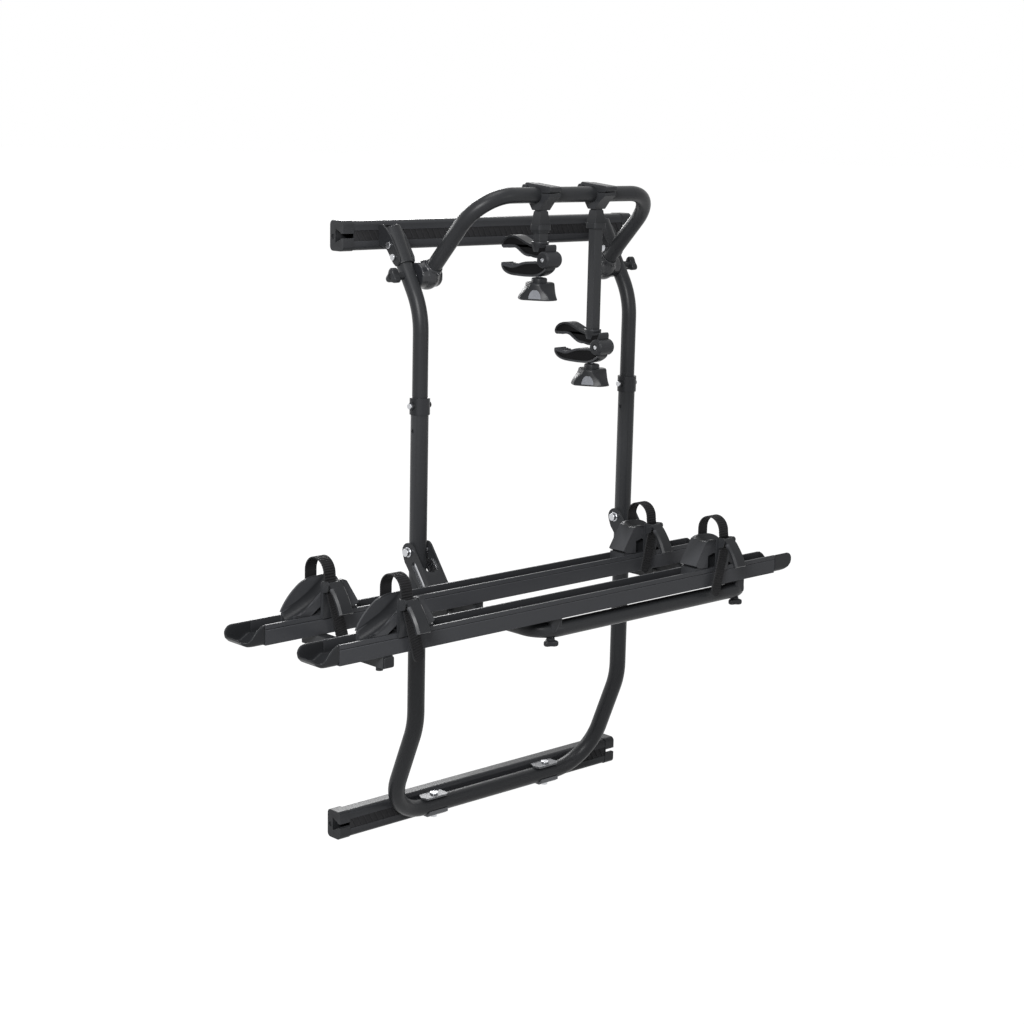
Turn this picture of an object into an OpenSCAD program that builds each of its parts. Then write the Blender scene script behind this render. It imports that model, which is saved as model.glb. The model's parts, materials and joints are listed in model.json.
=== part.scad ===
// Rear-door bicycle carrier for a van: two crossbars, two telescopic posts, a hoop with two frame
// arms, and a fold-up platform with two sliding wheel rails.
// X runs along the crossbars, +Y points at the van door, +Z is up. The origin is the centre of the
// lower crossbar's rear face.

/* [Crossbars] */
// Length of each crossbar without its end caps
bar_len = 790; // [700:5:900]
// Height of a crossbar
bar_h = 57; // [52:1:70]
// Distance from the rear face of the pad to the front face of the bar
bar_depth = 40; // [39:0.5:48]
// Radius along the long edges of a crossbar
bar_edge_r = 9; // [6:0.5:10]
// Thickness of the rubber pad behind a crossbar
pad_t = 4; // [3:0.5:6]
// Height of the rubber pad
pad_h = 40; // [30:1:46]
// Height of the slot mouth in the front face
slot_mouth = 9; // [8:0.5:10]
// Distance from the rear face to the back of the T-slot
slot_back = 17; // [15:0.5:19]
// Distance from the rear face to the front of the T-slot
slot_front = 32.5; // [30:0.5:33]
// Height of the T-slot at its back
slot_tall = 26; // [22:1:28]
// Height of the T-slot at its front
slot_short = 13.4; // [12:0.2:16]
// Height of the ribbed strip in the front groove
strip_h = 19.5; // [18:0.5:22]
// Depth of the groove that takes the ribbed strip
strip_seat = 2.6; // [2.2:0.1:3]
// Distance between neighbouring slanted ribs of the strip
rib_pitch = 15; // [12:1:20]
// Length of the collar of a crossbar cap
cap_len = 27; // [20:1:35]
// How far a crossbar cap stands proud of the bar
cap_lip = 1; // [0.6:0.1:2]
// Thickness of the end wall of a crossbar cap
cap_wall = 3.8; // [3:0.1:6]

/* [Posts] */
// Distance between the centres of the two posts
post_gap = 582; // [540:2:640]
// Distance of the post centres from the rear faces of the crossbars
post_reach = 146.5; // [136:0.5:170]
// Height of the upper crossbar's centre above the lower one's
bar_rise = 1190; // [1175:1:1260]
// Outer diameter of the lower tube
low_d = 35; // [34.4:0.1:36]
// Wall of the lower tube
low_wall = 2; // [1.6:0.1:2]
// Height of the top end of the lower tube
low_top = 880; // [850:5:900]
// Height of the lower tube's knee
low_knee = 220; // [205:1:260]
// Centreline radius of both knees
knee_r = 150; // [120:5:170]
// Centreline radius of the lower tube's bottom corners
corner_r = 100; // [80:5:110]
// Outer diameter of the upper tubes
up_d = 30.8; // [30:0.1:30.8]
// Wall of the upper tubes
up_wall = 2.5; // [2:0.1:3]
// Height of the foot of the upper tubes inside the lower one
up_foot = 650; // [640:5:700]
// How far the upper knee lies below the upper crossbar's centre
up_knee_drop = 139; // [130:1:150]
// How far the upper tube's end rises above the upper crossbar's centre
up_end_rise = 9; // [6:1:12]
// Gap between the upper tube's end and the upper crossbar's front face, before the tube's radius
up_end_gap = 1.7; // [1:0.1:3]
// Outer diameter of the plastic collars on the lower tube
collar_d = 40; // [39:0.5:44]
// Length of a collar
collar_len = 33; // [28:1:40]
// Thickness of the collar's lip above the tube end
collar_lip = 3; // [2:0.5:4]
// Distance of the collar's screw below the top of the lower tube
collar_screw_drop = 12.6; // [10:0.2:16]
// Distance of the height index hole below the top of the lower tube
index_hole_drop = 62; // [55:1:80]
// Diameter of the height index hole
index_hole_d = 8; // [6:0.5:10]

// Distance of the top bracket's outer faces from the post's centre
bracket_out = 20; // [19:0.5:22]
// Thickness of the top bracket's cheeks
bracket_t = 4; // [3:0.5:4.5]

/* [Lower clamps] */
// Distance between the two lower clamps
clamp_gap = 324; // [280:2:340]
// Length of a clamp's top plate along the crossbar
plate_len = 60; // [50:1:62]
// Thickness of a clamp's top plate
plate_t = 4; // [3:0.5:5]
// Distance from the crossbar's front face to the front edge of a clamp
clamp_reach = 33; // [30:0.5:38]
// Width of a clamp's lower jaw
clamp_jaw_w = 50; // [40:1:60]
// Height of the lower jaw's underside below the tube's centre
clamp_jaw_low = 21; // [20:0.5:24]

/* [Hoop] */
// Forward lean of the hoop, in degrees
hoop_lean = 43; // [40:1:46]
// Distance from the hoop's pivot to the axis of its top bar
hoop_reach = 220; // [200:1:240]
// Distance of the hoop's legs from the posts, centre to centre
hoop_inset = 48; // [46:1:56]
// Centreline radius of the hoop's corners
hoop_r = 80; // [60:5:90]
// Distance of the hoop's pivot down the upper tube from its end
hoop_pivot_down = 100; // [95:1:110]
// Radius of a hub about the pivot
hub_r = 22; // [21:0.5:24]
// Height of a hub above the pivot
hub_rise = 31; // [28:1:36]
// Width of a hub along the pivot
hub_w = 42; // [38:0.5:44]
// Diameter of the pivot bolts of the hoop
hoop_bolt_d = 8; // [6:0.5:8.5]
// Distance from the post's centre to the inner end of a hoop knob
knob_start = 15.6; // [15.6:0.1:20]
// Length of a hoop knob's neck
knob_neck = 11.5; // [8:0.5:14]
// Length of a hoop knob's lobed head
knob_head = 20; // [16:1:24]
// Diameter over the lobes of a hoop knob
knob_d = 33; // [28:1:38]

/* [Arms] */
// Place of the short arm along the hoop
short_arm_x = -85; // [-90:1:-78]
// Place of the long arm along the hoop
long_arm_x = 68; // [60:1:76]
// Distance from the hoop's axis down to the short arm's jaw pivot
short_arm_drop = 123; // [120:0.5:150]
// Distance from the hoop's axis down to the long arm's jaw pivot
long_arm_drop = 302; // [260:0.5:310]
// Width of the arm's clamp along the hoop
hanger_w = 30; // [26:1:34]
// Width of the arm's neck
neck_w = 17; // [15:0.5:19]
// Width of the square arm tube along X
arm_w = 22; // [20:0.5:22]
// Depth of the square arm tube along Y
arm_t = 18; // [16:0.5:19]
// Wall of the square arm tube
arm_wall = 2; // [1.5:0.1:2.5]
// How far the jaw pivot lies in front of the arm tube's centre
jaw_set = 27; // [26:0.5:29]
// Width of the jaws
jaw_w = 27; // [26.4:0.2:30]
// Width of the knuckle that the jaws turn about
knuckle_w = 38; // [34:1:40]
// Diameter of the knuckle
knuckle_d = 33; // [30:0.5:35]
// Width of the lower jaw's tongue between the upper jaw's cheeks
tongue_w = 13.6; // [12:0.2:15]
// Diameter of the jaw pivot pin
jaw_pin_d = 8; // [6:0.5:9]
// Diameter over the lobes of the jaw knob at its foot
jaw_knob_d = 80; // [70:1:84]
// Height of the jaw knob without its neck
jaw_knob_h = 34; // [28:1:40]
// Diameter of the jaw knob's screw
jaw_screw_d = 8; // [6:0.5:8.5]

/* [Platform] */
// Height of the fold pivot
fold_z = 578.5; // [570:0.5:590]
// Height of the platform tube's centre
platform_z = 485.5; // [475:0.5:490]
// Distance of the platform tube's front run from the crossbars' rear faces
platform_reach = 500; // [480:1:540]
// Diameter of the platform tube
platform_d = 31; // [28:0.5:32]
// Wall of the platform tube
platform_wall = 2.5; // [2:0.1:3]
// Centreline radius of the platform tube's corners
platform_r = 45; // [40:1:50]
// Distance of the pivot bracket's cheek faces from the post's centre
cheek_out = 25; // [24:0.5:27]
// Thickness of bracket plates
cheek_t = 4; // [3:0.5:4.5]
// Diameter of the fold pivot bolts
fold_bolt_d = 10; // [8:0.5:12]

/* [Rails] */
// Width of a wheel rail
rail_w = 47; // [46:0.5:52]
// Height of a wheel rail
rail_h = 37; // [35:0.5:42]
// Wall of a wheel rail
rail_wall = 4; // [3:0.1:4]
// Overall length of a wheel rail with its end caps
rail_len = 1250; // [1220:2:1300]
// Length of a rail end cap
rail_cap_len = 56; // [44:1:56]
// Distance of the front rail's centre from the crossbars' rear faces
front_rail_reach = 496; // [494:0.5:500]
// Distance of the rear rail's centre from the crossbars' rear faces
rear_rail_reach = 311.5; // [300:0.5:330]
// Distance of the front rail's right end from the middle of the crossbars
front_rail_end = 412.5; // [406:0.5:420]
// Distance of the rear rail's right end from the middle of the crossbars
rear_rail_end = 394.5; // [388:0.5:402]
// Height of the saddles between the platform tube and the rails
saddle_gap = 9; // [8:0.5:12]
// Distance between the two front saddles
front_saddle_gap = 520; // [440:2:530]
// Sideways place of the tie bar
tie_x = -675.5; // [-680:0.5:-670]
// Width and height of the square tie bar
tie_w = 22; // [20:0.5:24]

/* [Wheel holders] */
// Sideways place of the front left strap
front_left_x = -640; // [-645:1:-620]
// Sideways place of the rear left strap
rear_left_x = -662; // [-664:1:-650]
// Sideways place of the front right strap
front_right_x = 187; // [170:1:200]
// Sideways place of the rear right strap
rear_right_x = 174; // [160:1:185]
// Width of a holder across the rail
holder_w = 42; // [40:0.5:44]
// Radius of the tyre that a holder's trough is shaped for
tyre_r = 335; // [320:5:345]
// Width of the tyre trough
trough_w = 34; // [30:0.5:35]
// Width of a wheel strap
strap_w = 25; // [20:0.5:26]
// Thickness of a wheel strap
strap_t = 2.6; // [2:0.1:3]
// Radius of the strap's arch, to the middle of its thickness
arch_r = 30; // [28:0.5:32]
// Height of the arch's centre above the rail
arch_z = 72; // [70:1:80]
// Distance between neighbouring ribs of a strap
strap_pitch = 6; // [5:0.5:8]
// Width of a buckle's lever
lever_w = 31; // [29:0.5:34]
// Length of a buckle's lever
lever_len = 60; // [54:1:64]
// Angle of a closed lever from the vertical, in degrees
lever_slant = 33; // [31:1:36]

/* [Hidden] */
$fn = 48;
// Clearance of a running or sliding fit, on the radius
run = 0.1;
// Clearance between pieces that are seated but not fitted
seat = 0.3;
// Extra length that takes a cut past a face
over = 1;
// Gap under the band between a straight and a bend of a tube
seam_gap = 0.05;

black_paint = "#2c2d2f";
black_alloy = "#333437";
black_plastic = "#262729";
black_rubber = "#1d1d1e";
bright_steel = "#c9cacc";
satin_plate = "#6d6f72";

// Main places, worked out from the sizes above
post_x = post_gap / 2;
run_y = -(bar_depth + low_d / 2);
up_knee_z = bar_rise - up_knee_drop;
up_end_y = -(bar_depth + up_d / 2 + up_end_gap);
up_end_z = bar_rise + up_end_rise;
up_lean = atan((up_end_y + post_reach) / (up_end_z - up_knee_z));
lean_dir = [0, sin(up_lean), cos(up_lean)];
lean_front = [0, -cos(up_lean), sin(up_lean)];
hoop_dir = [0, -sin(hoop_lean), cos(hoop_lean)];
pivot_at = up_axis(hoop_pivot_down);
hoop_leg_x = post_x - hoop_inset;
hoop_y = pivot_at[1] + hoop_dir[1] * hoop_reach;
hoop_z = pivot_at[2] + hoop_dir[2] * hoop_reach;
rail_z = platform_z + platform_d / 2 + saddle_gap;
rail_top = rail_z + rail_h;
rail_bed = 12;
front_rail_x = front_rail_end - rail_len / 2;
rear_rail_x = rear_rail_end - rail_len / 2;
bolt_cut = platform_d + saddle_gap;
tee_mouth = 9.5;
tee_w = 18;
tee_lip = 2.5;
tee_h = 6;
bracket_bolts_down = [31, 56.5];
holders = [
    [front_left_x, -front_rail_reach, 1, -57],
    [rear_left_x, -rear_rail_reach, 1, -57],
    [front_right_x, -front_rail_reach, -1, -57],
    [rear_right_x, -rear_rail_reach, -1, -42]
];

function unit(v) = v / norm(v);
// Point on the upper tube's leaning axis, a distance down from its end, at X = 0
function up_axis(down) = [0, up_end_y, up_end_z] - lean_dir * down;
// Point beside that axis, as Y and Z, a distance further to the front
function beside(down, front) =
    let (p = up_axis(down) + lean_front * front) [p[1], p[2]];
// Half the angle between the two legs that meet at bend i of path p
function half_angle(p, i) = acos(unit(p[i - 1] - p[i]) * unit(p[i + 1] - p[i])) / 2;
// Length of each leg that a bend of radius r takes up
function setback(p, r, i) = i == 0 || i == len(p) - 1 ? 0 : r[i] / tan(half_angle(p, i));
// Closed outline with its corners cut to a smooth curve, n times over
function smooth(p, n) = n == 0 ? p : smooth([
    for (i = [0 : len(p) - 1], k = [0, 1])
        let (q = p[(i + 1) % len(p)]) k == 0 ? 0.75 * p[i] + 0.25 * q : 0.25 * p[i] + 0.75 * q
], n - 1);

// Puts its children at a point, with their Z along w and their X along u
module facing(at, w, u) {
    v = cross(w, u);
    multmatrix([
        [u[0], v[0], w[0], at[0]],
        [u[1], v[1], w[1], at[1]],
        [u[2], v[2], w[2], at[2]],
        [0, 0, 0, 1]
    ]) children();
}

// Outline in Y and Z, drawn out along X
module along_x(x0, x1) {
    translate([x0, 0, 0]) rotate([90, 0, 90]) linear_extrude(x1 - x0) children();
}

// Outline in X and Z, drawn out along Y
module along_y(y0, y1) {
    translate([0, y1, 0]) rotate([90, 0, 0]) linear_extrude(y1 - y0) children();
}

// Round bar along X
module rod_x(x0, x1, y, z, d) {
    translate([x0, y, z]) rotate([0, 90, 0]) cylinder(d = d, h = x1 - x0);
}

// Round bar along Z
module rod_z(x, y, z0, z1, d) {
    translate([x, y, z0]) cylinder(d = d, h = z1 - z0);
}

module ring(d, wall) {
    difference() {
        circle(d = d);
        if (2 * wall < d) circle(d = d - 2 * wall);
    }
}

// Hair-thin band that joins a straight to a bend, about the seam at Z = 0
module seam_band(d, wall) {
    skin = 0.02;
    band = 0.4;
    translate([0, 0, -band / 2]) linear_extrude(band) ring(d + 2 * skin, wall + 2 * skin);
}

// Bent tube through the points p, with bend radius r[i] at point i. It starts along its own Z at
// the origin, bends towards its own X, and turns[i] turns it about its length before bend i + 1.
module tube_chain(p, r, turns, d, wall, i = 0) {
    leg = norm(p[i + 1] - p[i]) - setback(p, r, i) - setback(p, r, i + 1);
    last = i == len(p) - 2;
    from = i == 0 ? 0 : seam_gap;
    to = last ? leg : leg - seam_gap;
    translate([0, 0, from]) linear_extrude(to - from) ring(d, wall);
    if (i > 0) seam_band(d, wall);
    if (!last) {
        angle = 180 - 2 * half_angle(p, i + 1);
        translate([0, 0, leg]) seam_band(d, wall);
        translate([0, 0, leg]) rotate([0, 0, turns[i]]) translate([r[i + 1], 0, 0]) {
            rotate([90, 0, 180]) rotate_extrude(angle = angle) translate([r[i + 1], 0]) ring(d, wall);
            rotate([0, angle, 0]) translate([-r[i + 1], 0, 0]) tube_chain(p, r, turns, d, wall, i + 1);
        }
    }
}

// Tube chain put on its path, its first bend towards the direction side
module bent_tube(p, r, turns, side, d, wall) {
    facing(p[0], unit(p[1] - p[0]), side) tube_chain(p, r, turns, d, wall);
}

module round_box(w, h, r) {
    square([w - 2 * r, h], center = true);
    square([w, h - 2 * r], center = true);
    for (x = [-1, 1], y = [-1, 1]) translate([x * (w / 2 - r), y * (h / 2 - r)]) circle(r = r);
}

// The T-slot's section, open to the front
module slot_shape(front) {
    polygon([
        [-slot_back, -slot_tall / 2], [-slot_back, slot_tall / 2],
        [-slot_front, slot_short / 2], [-slot_front, -slot_short / 2]
    ]);
    translate([-front, -slot_mouth / 2]) square([front - slot_front + over, slot_mouth]);
}

module bar_outline() {
    translate([-(bar_depth + pad_t) / 2, 0]) round_box(bar_depth - pad_t, bar_h, bar_edge_r);
}

module crossbar() {
    chamber = [bar_depth - pad_t - 8, 7];
    chamber_z = bar_h / 2 - 3.5 - chamber[1];
    along_x(-bar_len / 2, bar_len / 2) difference() {
        bar_outline();
        slot_shape(bar_depth + over);
        translate([-bar_depth - over, -strip_h / 2 - seat]) square([over + strip_seat, strip_h + 2 * seat]);
        for (s = [-1, 1])
            translate([-(bar_depth + pad_t) / 2, s * (chamber_z + chamber[1] / 2)])
                square(chamber, center = true);
    }
}

module bar_cap() {
    inner_x = bar_len / 2 - cap_len + cap_wall;
    outer_x = bar_len / 2 + cap_wall;
    depth = bar_depth + cap_lip;
    pocket = bar_depth - pad_t + 2 * run;
    screw_d = 10;
    difference() {
        along_x(inner_x, outer_x) difference() {
            translate([-depth / 2, 0]) round_box(depth, bar_h + 2 * cap_lip, bar_edge_r);
            slot_shape(depth + over);
        }
        along_x(inner_x - over, bar_len / 2 + run) translate([-(bar_depth + pad_t) / 2, 0])
            round_box(pocket, bar_h + 2 * run, bar_edge_r);
        rod_x(outer_x - 2, outer_x + over, -9.5, -2, screw_d);
    }
}

module bar_caps() {
    bar_cap();
    mirror([1, 0, 0]) bar_cap();
}

module slot_strip() {
    half = bar_len / 2 - cap_len + cap_wall - seat;
    base_t = 1.2;
    rib_t = strip_seat - base_t - 0.2;
    rib_w = 2.5;
    slant = strip_h * tan(30);
    ribs = floor((2 * half - slant - rib_w) / rib_pitch);
    base_y = -bar_depth + strip_seat - base_t;
    along_y(base_y, base_y + base_t) square([2 * half, strip_h], center = true);
    along_y(base_y - rib_t, base_y)
        for (i = [0 : ribs])
            translate([(i - ribs / 2) * rib_pitch, 0]) polygon([
                [(slant - rib_w) / 2, -strip_h / 2], [(slant + rib_w) / 2, -strip_h / 2],
                [(rib_w - slant) / 2, strip_h / 2], [-(slant + rib_w) / 2, strip_h / 2]
            ]);
}

module rear_pad() {
    half = bar_len / 2 - cap_len + cap_wall - seat;
    translate([-half, -pad_t, -pad_h / 2]) cube([2 * half, pad_t, pad_h]);
}

module lower_crossbar() color(black_alloy) crossbar();
module lower_bar_caps() color(black_plastic) bar_caps();
module lower_slot_strip() color(black_rubber) slot_strip();
module lower_rear_pad() color(black_rubber) rear_pad();
module upper_crossbar() color(black_alloy) translate([0, 0, bar_rise]) crossbar();
module upper_bar_caps() color(black_plastic) translate([0, 0, bar_rise]) bar_caps();
module upper_slot_strip() color(black_rubber) translate([0, 0, bar_rise]) slot_strip();
module upper_rear_pad() color(black_rubber) translate([0, 0, bar_rise]) rear_pad();

// Lower frame

clamp_bolt_d = 8;
plate_z = low_d / 2 + seat;
collar_screw_d = 6;
collar_screw_z = low_top - collar_screw_drop;

module lower_tube() color(black_paint) {
    path = [
        [0, run_y, 0], [post_x, run_y, 0], [post_x, -post_reach, low_knee], [post_x, -post_reach, low_top]
    ];
    up = unit(path[2] - path[1]);
    difference() {
        for (side = [0, 1])
            mirror([side, 0, 0]) bent_tube(path, [0, corner_r, knee_r, 0], [0, -90], up, low_d, low_wall);
        for (s = [-1, 1]) {
            rod_z(s * clamp_gap / 2, run_y, -low_d, low_d, clamp_bolt_d + 2 * run);
            rod_x(s * post_x - low_d, s * post_x + low_d, -post_reach, fold_z, fold_bolt_d + 2 * run);
            rod_x(s * post_x - low_d, s * post_x, -post_reach, low_top - index_hole_drop, index_hole_d);
            rod_x(s * post_x - low_d, s * post_x, -post_reach, collar_screw_z, collar_screw_d + 2 * run);
        }
    }
}

module tube_clamp() {
    front = -bar_depth - clamp_reach;
    tip = plate_len / 2 + 5;
    difference() {
        translate([0, 0, plate_z]) linear_extrude(plate_t) polygon([
            [-tip, run_y], [-plate_len / 2, front], [plate_len / 2 - 6, front],
            [plate_len / 2, front + 6], [plate_len / 2, -bar_depth], [-plate_len / 2 + 4, -bar_depth]
        ]);
        rod_z(0, run_y, 0, low_d, clamp_bolt_d + 2 * run);
    }
    difference() {
        along_x(-clamp_jaw_w / 2, clamp_jaw_w / 2) polygon([
            [-bar_depth, -clamp_jaw_low], [front + 6, -clamp_jaw_low], [front - 2, -clamp_jaw_low + 5],
            [front - 2, -8], [-bar_depth, -8]
        ]);
        rod_x(-clamp_jaw_w, clamp_jaw_w, run_y, 0, low_d + 2 * run);
        rod_z(0, run_y, -low_d, 0, clamp_bolt_d + 2 * run);
    }
}

module tube_clamps() color(satin_plate)
    for (s = [-1, 1]) translate([s * clamp_gap / 2, 0, 0]) tube_clamp();

module lower_bolts() color(bright_steel) {
    head_h = 4.5;
    nut_h = 6;
    for (s = [-1, 1]) {
        x = s * clamp_gap / 2;
        rod_z(x, run_y, plate_z + plate_t, plate_z + plate_t + head_h, 17);
        rod_z(x, run_y, -clamp_jaw_low, plate_z + plate_t + over, clamp_bolt_d);
        translate([x, run_y, -clamp_jaw_low - nut_h]) cylinder(d = 15, h = nut_h, $fn = 6);
    }
    for (s = [-1, 1]) {
        x = s * post_x;
        rod_x(x - collar_d / 2 - 8, x - collar_d / 2 - 3, -post_reach, collar_screw_z, 11);
        rod_x(x - collar_d / 2 - 4, x - up_d / 2 - seat, -post_reach, collar_screw_z, collar_screw_d);
    }
}

module post_collar() {
    bottom = low_top + collar_lip - collar_len;
    difference() {
        union() {
            rod_z(0, 0, bottom, low_top + collar_lip, collar_d);
            rod_x(-collar_d / 2 - 3, 0, 0, collar_screw_z, 15);
            rod_x(0, collar_d / 2 + 5, 0, collar_screw_z, 12);
        }
        rod_z(0, 0, bottom - over, low_top, low_d + 2 * run);
        rod_z(0, 0, bottom, low_top + collar_lip + over, up_d + 2 * run);
        rod_x(-collar_d, 0, 0, collar_screw_z, collar_screw_d + 2 * run);
    }
}

module post_collars() color(black_plastic)
    for (s = [-1, 1]) translate([s * post_x, -post_reach, 0]) post_collar();

module pivot_bolts() color(bright_steel) {
    head_t = 7;
    washer_t = 2;
    for (s = [-1, 1]) {
        x = s * post_x;
        rod_x(x - cheek_out - washer_t - head_t, x + cheek_out + washer_t, -post_reach, fold_z, fold_bolt_d);
        rod_x(x - cheek_out - washer_t, x - cheek_out - run, -post_reach, fold_z, 20);
        rod_x(x - cheek_out - washer_t - head_t, x - cheek_out - washer_t, -post_reach, fold_z, 16);
        rod_x(x + cheek_out + run, x + cheek_out + washer_t, -post_reach, fold_z, 20);
        rod_x(x + cheek_out + washer_t, x + cheek_out + washer_t + head_t, -post_reach, fold_z, 16);
        for (k = [-1, 1]) {
            inner = low_d / 2 + run;
            outer = cheek_out - cheek_t - run;
            rod_x(x + min(k * inner, k * outer), x + max(k * inner, k * outer), -post_reach, fold_z, 14);
        }
    }
}

// Upper frame

module upper_tubes() color(black_paint)
    for (s = [-1, 1]) {
        x = s * post_x;
        path = [[x, -post_reach, up_foot], [x, -post_reach, up_knee_z], [x, up_end_y, up_end_z]];
        difference() {
            bent_tube(path, [0, knee_r, 0], [0], [0, 1, 0], up_d, up_wall);
            for (down = concat(bracket_bolts_down, hoop_pivot_down)) {
                p = up_axis(down);
                rod_x(x - up_d, x + up_d, p[1], p[2], hoop_bolt_d + 2 * run);
            }
        }
    }

module bracket_outline() {
    face = -bar_depth;
    polygon([
        [face, bar_rise + 21.5], [face - 12, bar_rise + 21.5], beside(0, 8), beside(20, 12.5),
        beside(64, 14.5), beside(72, 11.5), beside(76.5, 4), beside(75, -4), beside(66, -8),
        beside(36, -11.5), beside(30, -14), [face, bar_rise - 19]
    ]);
}

module top_bracket() {
    web = 3.4;
    sleeve_r = bracket_out - over;
    sleeve_from = up_axis(75);
    sleeve_len = 79;
    difference() {
        union() {
            along_x(-bracket_out, -bracket_out + bracket_t) bracket_outline();
            along_x(bracket_out - bracket_t, bracket_out) bracket_outline();
            along_x(-bracket_out + over, bracket_out - over)
                translate([-bar_depth - web, bar_rise - 14]) square([web, 34]);
            intersection() {
                facing(sleeve_from, lean_dir, [1, 0, 0]) cylinder(r = sleeve_r, h = sleeve_len);
                facing(sleeve_from, lean_dir, [1, 0, 0]) translate([-bracket_out, -bracket_out, -over])
                    cube([2 * bracket_out, bracket_out - 3, sleeve_len + 2 * over]);
            }
        }
        facing(up_axis(85), lean_dir, [1, 0, 0]) cylinder(d = up_d + 2 * run, h = 100);
        for (down = bracket_bolts_down) {
            p = up_axis(down);
            rod_x(-post_x, post_x, p[1], p[2], hoop_bolt_d + 2 * run);
        }
    }
}

module top_brackets() color(black_paint)
    for (s = [-1, 1]) translate([s * post_x, 0, 0]) top_bracket();

module upper_bolts() color(bright_steel) {
    head_t = 4;
    for (s = [-1, 1]) {
        x = s * post_x;
        for (down = bracket_bolts_down) {
            p = up_axis(down);
            rod_x(x - bracket_out, x + bracket_out, p[1], p[2], hoop_bolt_d);
            rod_x(x - bracket_out - head_t, x - bracket_out, p[1], p[2], 13);
            rod_x(x + bracket_out, x + bracket_out + head_t, p[1], p[2], 13);
        }
    }
    hoop_bolt();
    mirror([1, 0, 0]) hoop_bolt();
}

// Right-hand pivot bolt of the hoop: head in the hub, shoulder to the post, end in the knob
module hoop_bolt() {
    outer = hoop_leg_x + hub_w / 2;
    y = pivot_at[1];
    z = pivot_at[2];
    rod_x(outer - hub_w - 5, outer - hub_w - run, y, z, 15);
    rod_x(outer - hub_w - over, post_x + knob_start + knob_neck + 4, y, z, hoop_bolt_d);
    rod_x(outer + run, post_x - up_d / 2 - run, y, z, 14);
}

// Hoop

module hoop_tube() color(black_paint) {
    foot = pivot_at + hoop_dir * hub_foot;
    top = pivot_at + hoop_dir * hoop_reach;
    left = [-hoop_leg_x, 0, 0];
    path = [foot + left, top + left, top - left, foot - left];
    bent_tube(path, [0, hoop_r, hoop_r, 0], [0, 0], [1, 0, 0], up_d, up_wall);
}

hub_foot = 9;
hub_screws_up = [17, 26];

// Egg-shaped hub about the pivot, drawn in to a collar round the hoop's tube
module hoop_hub() {
    half = hub_w / 2;
    collar_r = up_d / 2 + 2.2;
    belly = half - 1;
    facing([hoop_leg_x, pivot_at[1], pivot_at[2]], hoop_dir, [1, 0, 0]) difference() {
        union() {
            rod_x(-half, half, 0, 0, 2 * hub_r);
            rotate(45) rotate_extrude() polygon([
                [0, -belly], [belly * 0.5, -belly * 0.87], [belly * 0.87, -belly * 0.5], [belly, 0],
                [belly, 8], [belly - 1, 16], [collar_r + 1, hub_rise - 5], [collar_r, hub_rise],
                [0, hub_rise]
            ]);
        }
        rod_z(0, 0, hub_foot - seat, hub_rise + over, up_d + 2 * run);
        rod_x(-half - over, half + over, 0, 0, hoop_bolt_d + 2 * run);
        for (z = hub_screws_up)
            translate([0, -up_d / 2 + over, z]) rotate([90, 0, 0]) cylinder(d = 4.4, h = hub_r);
    }
}

// Two screws on each hub's front hold the tube
module hub_screws() {
    face = up_d / 2 + 5;
    facing([hoop_leg_x, pivot_at[1], pivot_at[2]], hoop_dir, [1, 0, 0])
        for (z = hub_screws_up) {
            translate([0, -up_d / 2 - seat, z]) rotate([90, 0, 0])
                cylinder(d = 4.2, h = face - up_d / 2 - seat + over);
            translate([0, -face, z]) rotate([90, 0, 0]) cylinder(d = 7, h = 2.5);
        }
}

module hoop_hubs() color(black_plastic) {
    hoop_hub();
    hub_screws();
    mirror([1, 0, 0]) hoop_hub();
    mirror([1, 0, 0]) hub_screws();
}

// Three lobes about the axis, drawn out along Z
module lobes(d, lobe_d) {
    circle(d = d * 0.62);
    for (a = [0, 120, 240]) rotate(a) translate([(d - lobe_d) / 2, 0]) circle(d = lobe_d);
}

module hoop_knob() {
    start = post_x + knob_start;
    translate([start, pivot_at[1], pivot_at[2]]) rotate([0, 90, 0]) difference() {
        union() {
            cylinder(d = 15, h = knob_neck + over);
            translate([0, 0, knob_neck]) linear_extrude(knob_head) rotate(60) lobes(knob_d, 15);
        }
        translate([0, 0, -over]) cylinder(d = hoop_bolt_d + 2 * run, h = over + knob_neck + 4 + seat);
    }
}

module right_hoop_knob() color(black_plastic) hoop_knob();
module left_hoop_knob() color(black_plastic) mirror([1, 0, 0]) hoop_knob();

// Arms, each drawn about the point where its centreline meets the hoop's axis

lever_hinge = [33.5, 13];
neck_z = -29;
housing_z = -58;
flange_z = -67;
socket_top = -52;

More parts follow.
